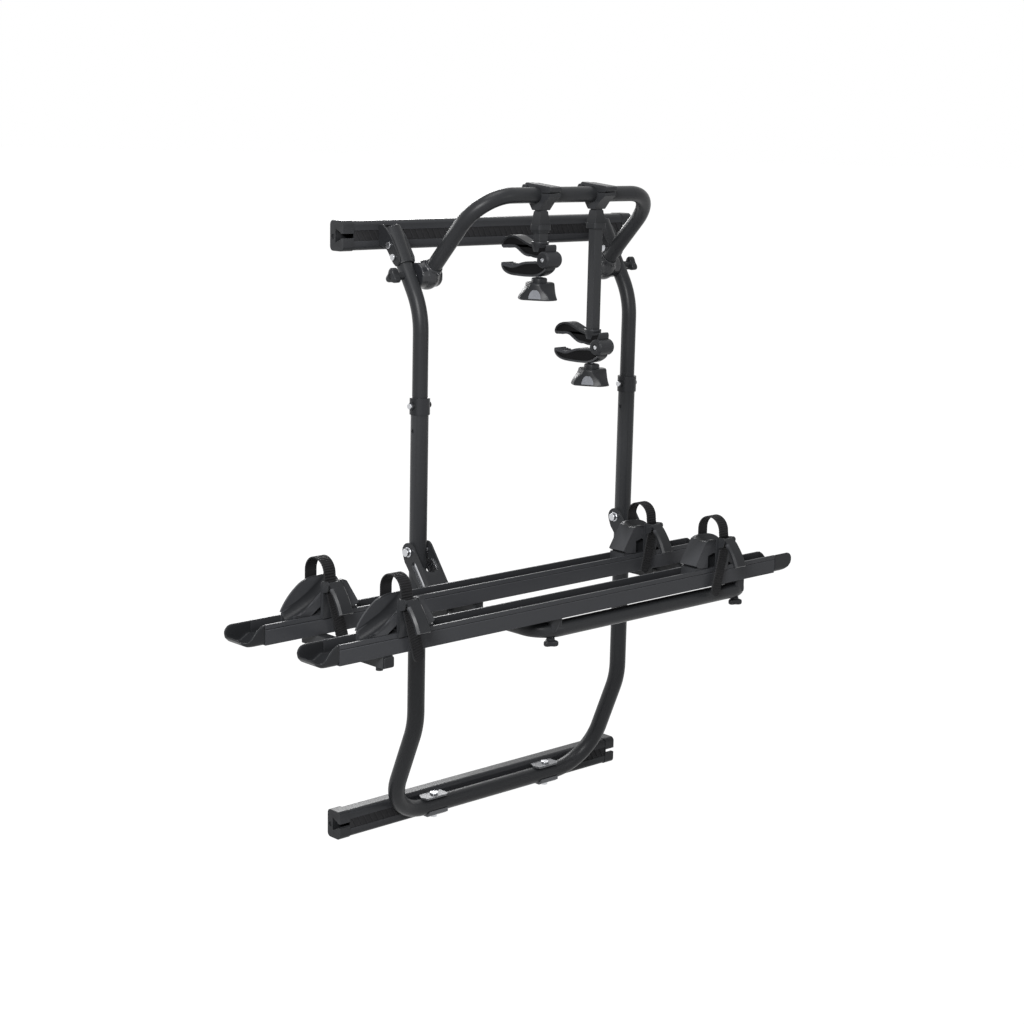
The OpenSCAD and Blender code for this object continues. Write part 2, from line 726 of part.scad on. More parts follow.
module hanger_body() {
    ear_r = 6.5;
    difference() {
        union() {
            along_x(-hanger_w / 2, hanger_w / 2) {
                polygon([
                    [lever_hinge[0] + ear_r, lever_hinge[1]], [lever_hinge[0] + ear_r - 2, 0],
                    [20, -14], [neck_w / 2 + 1, neck_z], [-neck_w / 2 - 1, neck_z], [-22, -14],
                    [-38, -2], [-39, 4], [18, 4], [24, 8], [lever_hinge[0] - ear_r, lever_hinge[1]]
                ]);
                translate(lever_hinge) circle(r = ear_r);
            }
            translate([-neck_w / 2, -neck_w / 2, neck_z - 3]) cube([neck_w, neck_w, 6]);
            intersection() {
                along_x(-20, 20) polygon([
                    [-12.5, housing_z], [12.5, housing_z], [9.5, neck_z - 2], [-9.5, neck_z - 2]
                ]);
                along_y(-20, 20) polygon([
                    [-14.5, housing_z], [14.5, housing_z], [10, neck_z - 2], [-10, neck_z - 2]
                ]);
            }
            translate([0, 0, flange_z]) linear_extrude(housing_z - flange_z + over)
                round_box(33, 29, 6);
            children();
        }
        rod_x(-hanger_w, hanger_w, 0, 0, up_d + 2 * run);
        translate([-arm_w / 2 - run, -arm_t / 2 - run, flange_z - 10])
            cube([arm_w + 2 * run, arm_t + 2 * run, socket_top + seat - flange_z + 10]);
        along_x(-hanger_w / 4 - seat, hanger_w / 4 + seat) translate(lever_hinge)
            translate([-ear_r - 2, -ear_r - 1]) square([2 * ear_r + 3, 3 * ear_r]);
        rod_x(-hanger_w, hanger_w, lever_hinge[0], lever_hinge[1], 5 + 2 * run);
    }
    rod_x(-hanger_w / 2, hanger_w / 2, lever_hinge[0], lever_hinge[1], 5);
}

module arm_lever() {
    clear = up_d / 2 + seat;
    difference() {
        union() {
            along_x(-hanger_w / 4, hanger_w / 4) {
                translate(lever_hinge) circle(r = 6);
                polygon([[39, 12], [38.5, 21], [34, 23], [22, 22], [22, 12]]);
            }
            along_x(-hanger_w / 2, hanger_w / 2) polygon([
                [26, 20], [23, 22.5], [0, 20.5], [-36, 17.5], [-40.5, 15.5], [-40.5, 9], [-37, 5.2],
                [-14, 5.2], [14, 5.2], [18, 14], [26, 18.2]
            ]);
        }
        rod_x(-hanger_w, hanger_w, 0, 0, 2 * clear);
        rod_x(-hanger_w, hanger_w, lever_hinge[0], lever_hinge[1], 5 + 2 * run);
    }
}

module arm_tube(drop) {
    foot = -drop + 20;
    difference() {
        translate([-arm_w / 2, -arm_t / 2, foot]) cube([arm_w, arm_t, socket_top - foot]);
        translate([-arm_w / 2 + arm_wall, -arm_t / 2 + arm_wall, foot - over])
            cube([arm_w - 2 * arm_wall, arm_t - 2 * arm_wall, socket_top - foot + 2 * over]);
    }
}

// Jaws, drawn about their pivot

upper_jaw_line = [
    [123, 17], [123, 28], [113, 38], [99, 43], [84, 43], [70, 38], [54, 32], [40, 28], [26, 26], [8, 27],
    [-3, 30], [-6, 24], [-4, 13], [8, 5], [24, 1.5], [40, 4.5], [56, 5], [68, 11], [80, 20], [98, 20]
];
lower_jaw_line = [
    [124, -12], [123, -22], [115, -30], [100, -35], [80, -36], [50, -36], [22, -34], [6, -27], [-5, -18],
    [-3, -10], [8, -7], [24, -4], [44, -6], [60, -8], [72, -12], [90, -18], [110, -16]
];
screw_y = jaw_set;
boss_z = -35;

// Knuckle of the upper jaw, with room between its ears for the lower jaw's tongue
module upper_jaw() {
    gap = tongue_w / 2 + seat;
    tongue_r = knuckle_d / 2 - 2.5;
    difference() {
        union() {
            along_x(-jaw_w / 2, jaw_w / 2) polygon(smooth(upper_jaw_line, 2));
            rod_x(-knuckle_w / 2, knuckle_w / 2, 0, 0, knuckle_d);
        }
        along_x(-gap, gap) {
            circle(r = tongue_r + 1);
            translate([-knuckle_d, -knuckle_d]) square([1.6 * knuckle_d, knuckle_d + 2]);
        }
        rod_x(-knuckle_w, knuckle_w, 0, 0, jaw_pin_d + 2 * run);
        translate([-arm_w / 2 - run, jaw_set - arm_t / 2 - run, 20])
            cube([arm_w + 2 * run, arm_t + 2 * run, 40]);
        translate([-jaw_screw_d / 2 - 1, screw_y - 9, -over]) cube([jaw_screw_d + 2, 18, 20]);
    }
}

module lower_jaw() {
    difference() {
        union() {
            difference() {
                along_x(-jaw_w / 2, jaw_w / 2) polygon(smooth(lower_jaw_line, 2));
                rod_x(-jaw_w, jaw_w, 0, 0, knuckle_d + 1.6);
            }
            along_x(-tongue_w / 2, tongue_w / 2) {
                circle(r = knuckle_d / 2 - 2.5);
                translate([0, -26]) square([22, 20]);
            }
            rod_z(0, screw_y, boss_z, boss_z + 8, 20);
        }
        rod_x(-jaw_w, jaw_w, 0, 0, jaw_pin_d + 2 * run);
        rod_z(0, screw_y, boss_z - over, 10, jaw_screw_d + 2 * run);
    }
}

module jaw_pin() {
    head_t = 1.6;
    rod_x(-knuckle_w / 2 - head_t, knuckle_w / 2 + head_t, 0, 0, jaw_pin_d);
    rod_x(-knuckle_w / 2 - head_t, -knuckle_w / 2, 0, 0, 13);
    rod_x(knuckle_w / 2, knuckle_w / 2 + head_t, 0, 0, 13);
}

// Three-lobed knob that flares towards its foot, with the screw fixed in it
module jaw_knob() {
    top = boss_z - run;
    flange_h = 10;
    shoulder = top - flange_h;
    foot = shoulder - jaw_knob_h;
    lobe_r = 8;
    foot_at = jaw_knob_d / 2 - lobe_r;
    top_at = foot_at - 9;
    screw_from = foot + 12;
    translate([0, screw_y, 0]) {
        difference() {
            union() {
                rod_z(0, 0, shoulder - over, top - 2, 30);
                rod_z(0, 0, top - 3, top, 18);
                hull() {
                    for (a = [30, 150, 270]) rotate(a) {
                        translate([foot_at, 0, foot]) cylinder(r = lobe_r, h = 6, $fn = 32);
                        translate([top_at, 0, shoulder - 2]) cylinder(r = lobe_r, h = 2, $fn = 32);
                    }
                    translate([0, 0, foot]) cylinder(r = foot_at, h = 4);
                }
            }
            rod_z(0, 0, screw_from, top + over, jaw_screw_d + 2 * run);
        }
        rod_z(0, 0, screw_from, 13, jaw_screw_d);
    }
}

module at_hoop(x) {
    translate([x, hoop_y, hoop_z]) children();
}

module at_jaw(x, drop) {
    translate([x, hoop_y - jaw_set, hoop_z - drop]) children();
}

// Ring under the short arm's flange
module short_flange() {
    translate([0, 0, flange_z - 5]) linear_extrude(6) round_box(29, 25, 5);
}

// Tab beside the long arm's flange
module long_flange() {
    translate([14, -7, flange_z]) cube([8, 14, 9]);
}

module short_arm_hanger() color(black_plastic) at_hoop(short_arm_x) hanger_body() short_flange();
module short_arm_lever() color(black_plastic) at_hoop(short_arm_x) arm_lever();
module short_arm_tube() color(black_paint) at_hoop(short_arm_x) arm_tube(short_arm_drop);
module short_upper_jaw() color(black_plastic) at_jaw(short_arm_x, short_arm_drop) upper_jaw();
module short_lower_jaw() color(black_plastic) at_jaw(short_arm_x, short_arm_drop) lower_jaw();
module short_jaw_pin() color(bright_steel) at_jaw(short_arm_x, short_arm_drop) jaw_pin();
module short_jaw_knob() color(black_plastic) at_jaw(short_arm_x, short_arm_drop) jaw_knob();
module long_arm_hanger() color(black_plastic) at_hoop(long_arm_x) hanger_body() long_flange();
module long_arm_lever() color(black_plastic) at_hoop(long_arm_x) arm_lever();
module long_arm_tube() color(black_paint) at_hoop(long_arm_x) arm_tube(long_arm_drop);
module long_upper_jaw() color(black_plastic) at_jaw(long_arm_x, long_arm_drop) upper_jaw();
module long_lower_jaw() color(black_plastic) at_jaw(long_arm_x, long_arm_drop) lower_jaw();
module long_jaw_pin() color(bright_steel) at_jaw(long_arm_x, long_arm_drop) jaw_pin();
module long_jaw_knob() color(black_plastic) at_jaw(long_arm_x, long_arm_drop) jaw_knob();

// Platform

module at_posts() {
    for (s = [-1, 1]) translate([s * post_x, 0, 0]) children();
}

leg_end_y = -post_reach - 45;
leg_bolt_y = leg_end_y - 42;
leg_bolt_d = 8;
cheek_foot_y = leg_end_y - 70;
cheek_bend = [-post_reach - 66.5, fold_z - 59.5];
front_saddle_x = front_saddle_gap / 2;
rail_bolt_d = 8;

module platform_path(d, wall) {
    path = [
        [-post_x, leg_end_y, platform_z], [-post_x, -platform_reach, platform_z],
        [post_x, -platform_reach, platform_z], [post_x, leg_end_y, platform_z]
    ];
    bent_tube(path, [0, platform_r, platform_r, 0], [0, 0], [1, 0, 0], d, wall);
}

module cheek_outline() {
    p = [-post_reach, fold_z];
    polygon(concat(
        [for (a = [-20 : 20 : 140]) p + 18.5 * [cos(a), sin(a)]],
        [
            cheek_bend, [cheek_foot_y, platform_z + 20], [cheek_foot_y - 3, platform_z + 12],
            [cheek_foot_y, platform_z - 19], [cheek_foot_y + 5, platform_z - 22],
            [leg_end_y + 2, platform_z - 22], [leg_end_y + 7, platform_z - 16],
            [leg_end_y + 10, platform_z + 24], p + [-4, -40], p + [11, -22]
        ]
    ));
}

// Slot beside the front edge of a cheek, grown by a margin
module cheek_slot(margin) {
    w = 13 + 2 * margin;
    dir = unit(cheek_bend - [-post_reach - 14, fold_z + 12]);
    top = [-post_reach - 17.5, fold_z - 24];
    foot = top + dir * 44;
    side = [dir[1], -dir[0]] * w / 2;
    for (p = [top, foot]) translate(p) circle(d = w);
    polygon([top + side, foot + side, foot - side, top - side]);
}

module pivot_bracket() {
    top = [-post_reach - 14, fold_z + 12];
    dir = unit(cheek_bend - top);
    inward = [-dir[1], dir[0]] * cheek_t;
    sunk = inward * 0.2;
    notch_r = cheek_out - cheek_t + 0.5;
    notch = [0, top[0], top[1]] + [0, dir[0], dir[1]] * 36;
    difference() {
        union() {
            along_x(-cheek_out, -cheek_out + cheek_t) cheek_outline();
            along_x(cheek_out - cheek_t, cheek_out) cheek_outline();
            difference() {
                along_x(-cheek_out + over, cheek_out - over) polygon([
                    top + sunk, cheek_bend + sunk, [cheek_foot_y, platform_z + 19],
                    [cheek_foot_y, platform_z + 20 - cheek_t], cheek_bend + inward + dir * 1.5, top + inward
                ]);
                facing(notch, unit([0, dir[1], -dir[0]]), [1, 0, 0]) {
                    translate([0, 0, -10]) cylinder(r = notch_r, h = 20);
                    translate([-notch_r, 0, -10]) cube([2 * notch_r, 60, 20]);
                }
            }
        }
        rod_x(-post_x, post_x, -post_reach, fold_z, fold_bolt_d + 2 * run);
        rod_x(-post_x, post_x, leg_bolt_y, platform_z, leg_bolt_d + 2 * run);
        along_x(-cheek_out - over, cheek_out + over) cheek_slot(0);
    }
}

module pivot_brackets() color(black_paint) at_posts() pivot_bracket();

module platform_tube() color(black_paint) difference() {
    platform_path(platform_d, platform_wall);
    rod_x(-post_x - bolt_cut, post_x + bolt_cut, leg_bolt_y, platform_z, leg_bolt_d + 2 * run);
    for (s = [-1, 1]) {
        rod_z(s * front_saddle_x, -front_rail_reach, platform_z - bolt_cut, rail_z, rail_bolt_d + 2 * run);
        rod_z(s * post_x, -rear_rail_reach, platform_z - bolt_cut, rail_z, rail_bolt_d + 2 * run);
    }
}

// T-headed bolt that hangs in a rail's T-slot
module tee_bolt(x, y, foot) {
    head = [14, tee_w - 2 * seat, tee_h - 1];
    translate([x - head[0] / 2, y - head[1] / 2, rail_z + tee_lip + 0.15]) cube(head);
    rod_z(x, y, foot, rail_z + tee_lip + over, rail_bolt_d);
}

module platform_bolts() color(bright_steel) {
    tube_low = platform_z - platform_d / 2;
    liner_in = low_d / 2 + seat + run;
    for (s = [-1, 1]) {
        tee_bolt(s * front_saddle_x, -front_rail_reach, tube_low - 11);
        tee_bolt(s * post_x, -rear_rail_reach, tube_low - 9);
        translate([s * post_x, -rear_rail_reach, tube_low - 7]) cylinder(d = 15, h = 6, $fn = 6);
    }
    at_posts() {
        rod_x(-cheek_out - 4, cheek_out + 4, leg_bolt_y, platform_z, leg_bolt_d);
        rod_x(-cheek_out - 5, -cheek_out, leg_bolt_y, platform_z, 14);
        rod_x(cheek_out, cheek_out + 5, leg_bolt_y, platform_z, 14);
        along_x(-cheek_out + cheek_t, -liner_in) cheek_slot(3.5);
        along_x(liner_in, cheek_out - cheek_t) cheek_slot(3.5);
    }
}

module rail_saddles() color(black_plastic) {
    saddle_len = 26;
    saddle_w = 34;
    places = [
        [-front_saddle_x, -front_rail_reach], [front_saddle_x, -front_rail_reach],
        [-post_x, -rear_rail_reach], [post_x, -rear_rail_reach]
    ];
    difference() {
        for (p = places)
            translate([p[0], p[1], platform_z - 2]) linear_extrude(rail_z - platform_z + 2)
                round_box(saddle_len, saddle_w, 5);
        platform_path(platform_d + 2 * run, platform_d);
        for (p = places) rod_z(p[0], p[1], platform_z - bolt_cut, rail_z + over, rail_bolt_d + 2 * run);
    }
}

module rail_knob() {
    top = platform_z - platform_d / 2 - seat;
    translate([front_saddle_x, -front_rail_reach, top - 16]) difference() {
        union() {
            linear_extrude(13) lobes(34, 15);
            cylinder(d = 16, h = 16);
        }
        translate([0, 0, 4]) cylinder(d = rail_bolt_d + 2 * run, h = 20);
    }
}

module right_rail_knob() color(black_plastic) rail_knob();
module left_rail_knob() color(black_plastic) mirror([1, 0, 0]) rail_knob();

// Rails, with Y and Z counted from the middle of the rail's underside

bed_rise = 2.5;

module rail_outline() {
    inner = rail_w / 2 - rail_wall;
    bed_r = (inner * inner + bed_rise * bed_rise) / (2 * bed_rise);
    groove = 1.2;
    difference() {
        translate([-rail_w / 2, 0]) square([rail_w, rail_h]);
        translate([-inner, rail_bed + bed_rise]) square([2 * inner, rail_h]);
        intersection() {
            translate([0, rail_bed + bed_r]) circle(r = bed_r, $fn = 96);
            translate([-inner, rail_bed - over]) square([2 * inner, 2 * bed_rise + over]);
        }
        translate([-tee_mouth / 2, -over]) square([tee_mouth, tee_lip + 2 * over]);
        translate([-tee_w / 2, tee_lip]) square([tee_w, tee_h]);
        for (s = [-1, 1]) translate([s * rail_w / 2 - groove, rail_h - 10]) square([2 * groove, 2]);
    }
}

module rail(middle, reach) {
    half = rail_len / 2 - rail_cap_len;
    translate([0, -reach, rail_z]) along_x(middle - half, middle + half) rail_outline();
}

module front_rail() color(black_alloy) rail(front_rail_x, front_rail_reach);
module rear_rail() color(black_alloy) rail(rear_rail_x, rear_rail_reach);

// End cap of a rail's left end, with X counted from its tip: an open scoop whose nose rises, with
// the front wall cut down in an S
module rail_cap() {
    half = rail_w / 2;
    inner = half - rail_wall;
    long = rail_cap_len;
    bed = rail_bed + bed_rise;
    plug = tee_w / 2 - seat;
    floor_t = 5;
    edge_r = 9;
    nose_r = 15;
    difference() {
        intersection() {
            along_x(0, long) {
                translate([0, rail_h / 2]) round_box(rail_w, rail_h, edge_r);
                translate([-half, rail_h / 2]) square([rail_w, rail_h / 2]);
            }
            along_y(-half, half) polygon(concat(
                [[long, 0], [long, rail_h]],
                [for (a = [90 : 15 : 180]) [nose_r + nose_r * cos(a), rail_h - nose_r + nose_r * sin(a)]],
                [[2, 14], [9, 7], [20, 2], [32, 0]]
            ));
        }
        along_y(-inner, inner) polygon([
            [-over, 20], [10, 12], [24, floor_t + 1], [long - half, floor_t], [long - 8, bed],
            [long + over, bed], [long + over, rail_h + over], [-over, rail_h + over]
        ]);
        along_y(-half - over, -inner + over) polygon(smooth([
            [long + 4, rail_h + 8], [long - 4, rail_h], [long - 14, rail_h - 5], [long - 24, 22],
            [long - 32, 12], [long - 42, 10], [-12, 20], [-12, rail_h + 8]
        ], 2));
    }
    translate([long - over, -plug, tee_lip + seat]) cube([15, 2 * plug, tee_h - 2 * seat]);
}

module rail_caps(middle, reach) {
    for (turn = [0, 180])
        translate([middle, -reach, rail_z]) rotate(turn) translate([-rail_len / 2, 0, 0]) rail_cap();
}

// The tie bar hangs under both rails, its top face against them
tie_front_y = -front_rail_reach - rail_w / 2 + 1;
tie_rear_y = -rear_rail_reach + rail_w / 2 - 2;

module rail_end_caps() color(black_plastic) {
    rail_caps(front_rail_x, front_rail_reach);
    rail_caps(rear_rail_x, rear_rail_reach);
    translate([tie_x, tie_front_y - 2, rail_z - tie_w / 2]) rotate([90, 0, 0])
        linear_extrude(3) round_box(tie_w + 1, tie_w - 1, 3);
    translate([tie_x, tie_front_y + 4, rail_z - tie_w / 2]) rotate([90, 0, 0])
        linear_extrude(6.5) square(tie_w - 4 - 2 * seat, center = true);
}

module tie_bar() color(black_paint) {
    wall = 2;
    bolt_x = tie_x - 4;
    difference() {
        translate([tie_x - tie_w / 2, tie_front_y, rail_z - tie_w])
            cube([tie_w, tie_rear_y - tie_front_y, tie_w]);
        translate([tie_x - tie_w / 2 + wall, tie_front_y - over, rail_z - tie_w + wall])
            cube([tie_w - 2 * wall, tie_rear_y - tie_front_y + 2 * over, tie_w - 2 * wall]);
        for (y = [-front_rail_reach, -rear_rail_reach])
            rod_z(tie_x, y, rail_z - tie_w - over, rail_z + over, rail_bolt_d + 2 * run);
    }
    for (y = [-front_rail_reach, -rear_rail_reach]) {
        tee_bolt(tie_x, y, rail_z - tie_w - 8);
        rod_z(tie_x, y, rail_z - tie_w - 8, rail_z - tie_w - run, 13);
    }
}

// Wheel holders, drawn for the left end: X counted from the strap towards the rail's middle,
// Y from the rail's centreline, Z from the rail's top

holder_foot = rail_h - rail_bed - bed_rise - seat;
holder_end = 74;
holder_nose = -77;
window_x = [-30, 4];
rear_wall_line = [
    [holder_nose, seat], [-70, 14], [-58, 30], [-43, 44], [-27, 55], [-6, 61], [20, 62], [40, 59],
    [58, 44], [68, 24], [holder_end, seat]
];
front_wall_line = [
    [holder_nose, seat], [-62, 3], [-44, 14], [-2, 48], [20, 58], [40, 57],
    [58, 43], [68, 24], [holder_end, seat]
];

module holder() {
    half = holder_w / 2;
    tyre_x = -172;
    tyre_z = tyre_r - 23;
    channel = rail_w / 2 - rail_wall - seat;
    lug_y = half + 12;
    difference() {
        union() {
            along_y(-half, 0) polygon(smooth(front_wall_line, 2));
            along_y(-over, half) polygon(smooth(rear_wall_line, 2));
            translate([holder_nose + 4, -channel, -holder_foot])
                cube([holder_end - holder_nose - 8, 2 * channel, holder_foot + 4]);
            translate([-strap_w / 2 - 3, half - over, 22]) cube([strap_w + 6, lug_y - half + over, 26]);
        }
        translate([tyre_x, 0, tyre_z]) rotate([90, 0, 0]) rotate_extrude($fn = 96) {
            translate([0, -trough_w / 2]) square([tyre_r - trough_w / 2, trough_w]);
            intersection() {
                translate([tyre_r - trough_w / 2, 0]) circle(d = trough_w);
                translate([0, -trough_w / 2]) square([tyre_r, trough_w]);
            }
        }
        translate([-strap_w / 2 - seat, arch_r - strap_t / 2 - seat, 30])
            cube([strap_w + 2 * seat, strap_t + 2 * seat, 30]);
        translate([window_x[0], -half - over, 24]) rotate([0, -38, 0]) cube([18, 3, 11]);
        along_y(-half - over, -half + 9) polygon([
            [-36, 0.5], [-8, 0.5], [36, 0.5], [36, 26], [20, 30], [-4, 22]
        ]);
    }
}

module strap(tail_z) {
    front = -arch_r;
    lap_z = 50;
    tail_y = -35;
    rib = 0.9;
    tail_turn = 11;
    tail_len = lap_z - tail_z;
    translate([0, 0, arch_z]) rotate([90, 0, 90])
        translate([0, 0, -strap_w / 2]) rotate_extrude(angle = 180)
            translate([arch_r - strap_t / 2, 0]) square([strap_t, strap_w]);
    translate([-strap_w / 2, arch_r - strap_t / 2, 32]) cube([strap_w, strap_t, arch_z - 32]);
    for (a = [6 : 360 * strap_pitch / (2 * PI * arch_r) : 176])
        translate([0, 0, arch_z]) rotate([a, 0, 0])
            translate([-strap_w / 2 + 2, arch_r + strap_t / 2 - 0.2, -1.2])
                cube([strap_w - 4, rib + 0.2, 2.4]);
    along_x(-strap_w / 2, strap_w / 2) polygon([
        [front - strap_t / 2, arch_z], [front + strap_t / 2, arch_z],
        [tail_y + strap_t / 2 - 0.3, lap_z - 2], [tail_y - strap_t / 2 + 0.3, lap_z - 2]
    ]);
    translate([0, tail_y, lap_z]) rotate([0, -tail_turn, 0]) {
        translate([0, strap_t / 2, 0]) rotate([90, 0, 0]) linear_extrude(strap_t) {
            translate([-strap_w / 2, -tail_len + strap_w / 2]) square([strap_w, tail_len - strap_w / 2]);
            translate([0, -tail_len + strap_w / 2]) circle(d = strap_w);
        }
        for (z = [-46 : -strap_pitch : -tail_len + 12])
            translate([-strap_w / 2 + 2, -strap_t / 2 - rib, z]) cube([strap_w - 4, rib + 0.2, 2.4]);
    }
}

buckle_hinge = [-40.5, 57];
buckle_pin_d = 4;

module buckle() {
    half = holder_w / 2;
    cheek = 3;
    inner = strap_w / 2 + 1.5;
    seat_y = -half - seat;
    wall_y = -rail_w / 2 - seat;
    difference() {
        union() {
            along_x(-lever_w / 2, lever_w / 2) polygon([
                [seat_y, seat], [seat_y, 58], [seat_y - 5, 62], [-31.5, 60], [-31.5, 12], [-29, 2],
                [wall_y - 2.5, -8], [wall_y, -8], [wall_y, seat]
            ]);
            for (s = [-1, 1])
                along_x(s > 0 ? inner : -inner - cheek, s > 0 ? inner + cheek : -inner) {
                    translate(buckle_hinge) circle(r = 5.5);
                    polygon([[-30, 40], [-30, 61.5], [-40.5, 62.4], [-46, 57], [-41, 44]]);
                }
        }
        rod_x(-lever_w, lever_w, buckle_hinge[0], buckle_hinge[1], buckle_pin_d + 2 * run);
        along_x(-strap_w / 2 - seat - 0.4, strap_w / 2 + seat + 0.4) polygon([
            [-41, 70], [-24, 70], [-28, 58], [-32, 46], [-32.5, 40], [-41, 40]
        ]);
    }
    rod_x(-inner - cheek, inner + cheek, buckle_hinge[0], buckle_hinge[1], buckle_pin_d);
}

module lever() {
    knuckle = 8;
    plate = 3.4;
    w = lever_w / 2;
    translate([0, buckle_hinge[0], buckle_hinge[1]]) rotate([-lever_slant, 0, 0]) difference() {
        union() {
            rod_x(-strap_w / 2 - 1, strap_w / 2 + 1, 0, 0, knuckle);
            along_x(-strap_w / 2 - 1, strap_w / 2 + 1) polygon([[-4, 0], [-4, -12], [0, -12], [3, 0]]);
            translate([0, 0, -lever_len]) linear_extrude(lever_len - 9) polygon([
                [-w, 1], [-w, -3], [-w + 4, -6.5], [w - 4, -6.5], [w, -3], [w, 1],
                [w - plate + 1, 1], [w - plate + 0.5, -2], [w - 5, -6.5 + plate], [-w + 5, -6.5 + plate],
                [-w + plate - 0.5, -2], [-w + plate - 1, 1]
            ]);
        }
        rod_x(-lever_w, lever_w, 0, 0, buckle_pin_d + 2 * run);
    }
}

// Puts its children at wheel holder i, turned the right way round
module at_holder(i) {
    h = holders[i];
    translate([h[0], h[1], rail_top]) mirror([h[2] < 0 ? 1 : 0, 0, 0]) children();
}

module front_left_holder() color(black_plastic) at_holder(0) holder();
module front_left_strap() color(black_rubber) at_holder(0) strap(holders[0][3]);
module front_left_buckle() color(black_plastic) at_holder(0) buckle();
module front_left_lever() color(black_plastic) at_holder(0) lever();
module rear_left_holder() color(black_plastic) at_holder(1) holder();
module rear_left_strap() color(black_rubber) at_holder(1) strap(holders[1][3]);
module rear_left_buckle() color(black_plastic) at_holder(1) buckle();
module rear_left_lever() color(black_plastic) at_holder(1) lever();
module front_right_holder() color(black_plastic) at_holder(2) holder();
module front_right_strap() color(black_rubber) at_holder(2) strap(holders[2][3]);
module front_right_buckle() color(black_plastic) at_holder(2) buckle();
module front_right_lever() color(black_plastic) at_holder(2) lever();
module rear_right_holder() color(black_plastic) at_holder(3) holder();
module rear_right_strap() color(black_rubber) at_holder(3) strap(holders[3][3]);
module rear_right_buckle() color(black_plastic) at_holder(3) buckle();
module rear_right_lever() color(black_plastic) at_holder(3) lever();

lower_crossbar();
lower_bar_caps();
lower_slot_strip();
lower_rear_pad();
lower_tube();
tube_clamps();
lower_bolts();
post_collars();
pivot_bolts();
upper_crossbar();
upper_bar_caps();
upper_slot_strip();
upper_rear_pad();
upper_tubes();
top_brackets();
upper_bolts();
hoop_tube();
hoop_hubs();
left_hoop_knob();
right_hoop_knob();
short_arm_hanger();
short_arm_lever();
short_arm_tube();
short_upper_jaw();
short_lower_jaw();
short_jaw_pin();
short_jaw_knob();
long_arm_hanger();
long_arm_lever();
long_arm_tube();
long_upper_jaw();
long_lower_jaw();
long_jaw_pin();
long_jaw_knob();
pivot_brackets();
platform_tube();
platform_bolts();
rail_saddles();
left_rail_knob();
right_rail_knob();
front_rail();
rear_rail();
rail_end_caps();
tie_bar();
front_left_holder();
front_left_strap();
front_left_buckle();
front_left_lever();
rear_left_holder();
rear_left_strap();
rear_left_buckle();
rear_left_lever();
front_right_holder();
front_right_strap();
front_right_buckle();
front_right_lever();
rear_right_holder();
rear_right_strap();
rear_right_buckle();
rear_right_lever();
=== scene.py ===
"""Looks of the van bike carrier: its finishes and moulded pieces, the studio and the camera."""

from __future__ import annotations

import json
import logging
import math
from dataclasses import dataclass
from enum import Enum
from typing import Callable, Iterable, Sequence

import bmesh
import bpy
from mathutils import Matrix, Vector


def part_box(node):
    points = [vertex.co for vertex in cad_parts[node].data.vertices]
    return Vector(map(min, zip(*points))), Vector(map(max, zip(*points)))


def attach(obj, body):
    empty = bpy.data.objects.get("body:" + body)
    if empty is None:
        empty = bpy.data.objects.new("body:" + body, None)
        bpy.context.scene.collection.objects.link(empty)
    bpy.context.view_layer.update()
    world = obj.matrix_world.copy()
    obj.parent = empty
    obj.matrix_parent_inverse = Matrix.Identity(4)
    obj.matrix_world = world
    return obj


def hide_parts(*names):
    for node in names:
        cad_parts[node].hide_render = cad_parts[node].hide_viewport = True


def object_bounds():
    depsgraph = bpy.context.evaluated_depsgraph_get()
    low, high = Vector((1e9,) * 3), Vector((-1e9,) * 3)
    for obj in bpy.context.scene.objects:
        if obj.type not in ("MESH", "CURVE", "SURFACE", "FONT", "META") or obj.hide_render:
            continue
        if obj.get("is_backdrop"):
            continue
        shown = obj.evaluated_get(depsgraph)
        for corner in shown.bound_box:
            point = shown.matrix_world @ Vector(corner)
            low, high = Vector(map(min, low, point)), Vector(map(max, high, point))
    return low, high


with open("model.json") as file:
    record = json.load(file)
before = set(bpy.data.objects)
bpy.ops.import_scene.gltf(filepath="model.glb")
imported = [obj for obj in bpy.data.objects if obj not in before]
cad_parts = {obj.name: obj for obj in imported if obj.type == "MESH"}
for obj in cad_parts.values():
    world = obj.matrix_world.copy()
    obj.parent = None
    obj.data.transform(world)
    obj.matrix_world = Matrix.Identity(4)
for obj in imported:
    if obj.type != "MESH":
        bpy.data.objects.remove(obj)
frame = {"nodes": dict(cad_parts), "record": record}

LOG = logging.getLogger("carrier")
MM = 0.001
NODE_BODY = {
    node: body
    for body, nodes in frame["record"]["behaviour"]["bodies"].items()
    for node in nodes
}

Point = tuple[float, float, float]
Pair = tuple[float, float]
Line = Sequence[Pair]
Radius = Callable[[float], float]
Rings = list[tuple[float, Radius]]
BMesh = bmesh.types.BMesh
Vert = bmesh.types.BMVert
Edge = bmesh.types.BMEdge
Tree = bpy.types.NodeTree
Socket = bpy.types.NodeSocket


# Finishes

# Pointiness between which an edge goes from untouched to worn, and how much of the worn colour
# it gets.
EDGE_POINTINESS = (0.52, 0.62)
WORN_SHARE = 0.55
# Part of the slow noise that the roughness follows.
PATCH_RANGE = (0.3, 0.7)
# Scale of the relief that runs along X.
DRAWN_STRETCH = (0.01, 1.0, 1.0)


def linear(code: str) -> tuple[float, float, float, float]:
    """Turns an sRGB hex code, such as "#2c2d2f", into the linear colour that shaders read."""
    parts = [int(code[i : i + 2], 16) / 255 for i in (1, 3, 5)]
    red, green, blue = (
        part / 12.92 if part <= 0.04045 else ((part + 0.055) / 1.055) ** 2.4
        for part in parts
    )
    return red, green, blue, 1.0


def empty_tree(owner: bpy.types.Material | bpy.types.World) -> Tree:
    """Gives a material or a world an empty node tree."""
    owner.use_nodes = True
    owner.node_tree.nodes.clear()
    return owner.node_tree


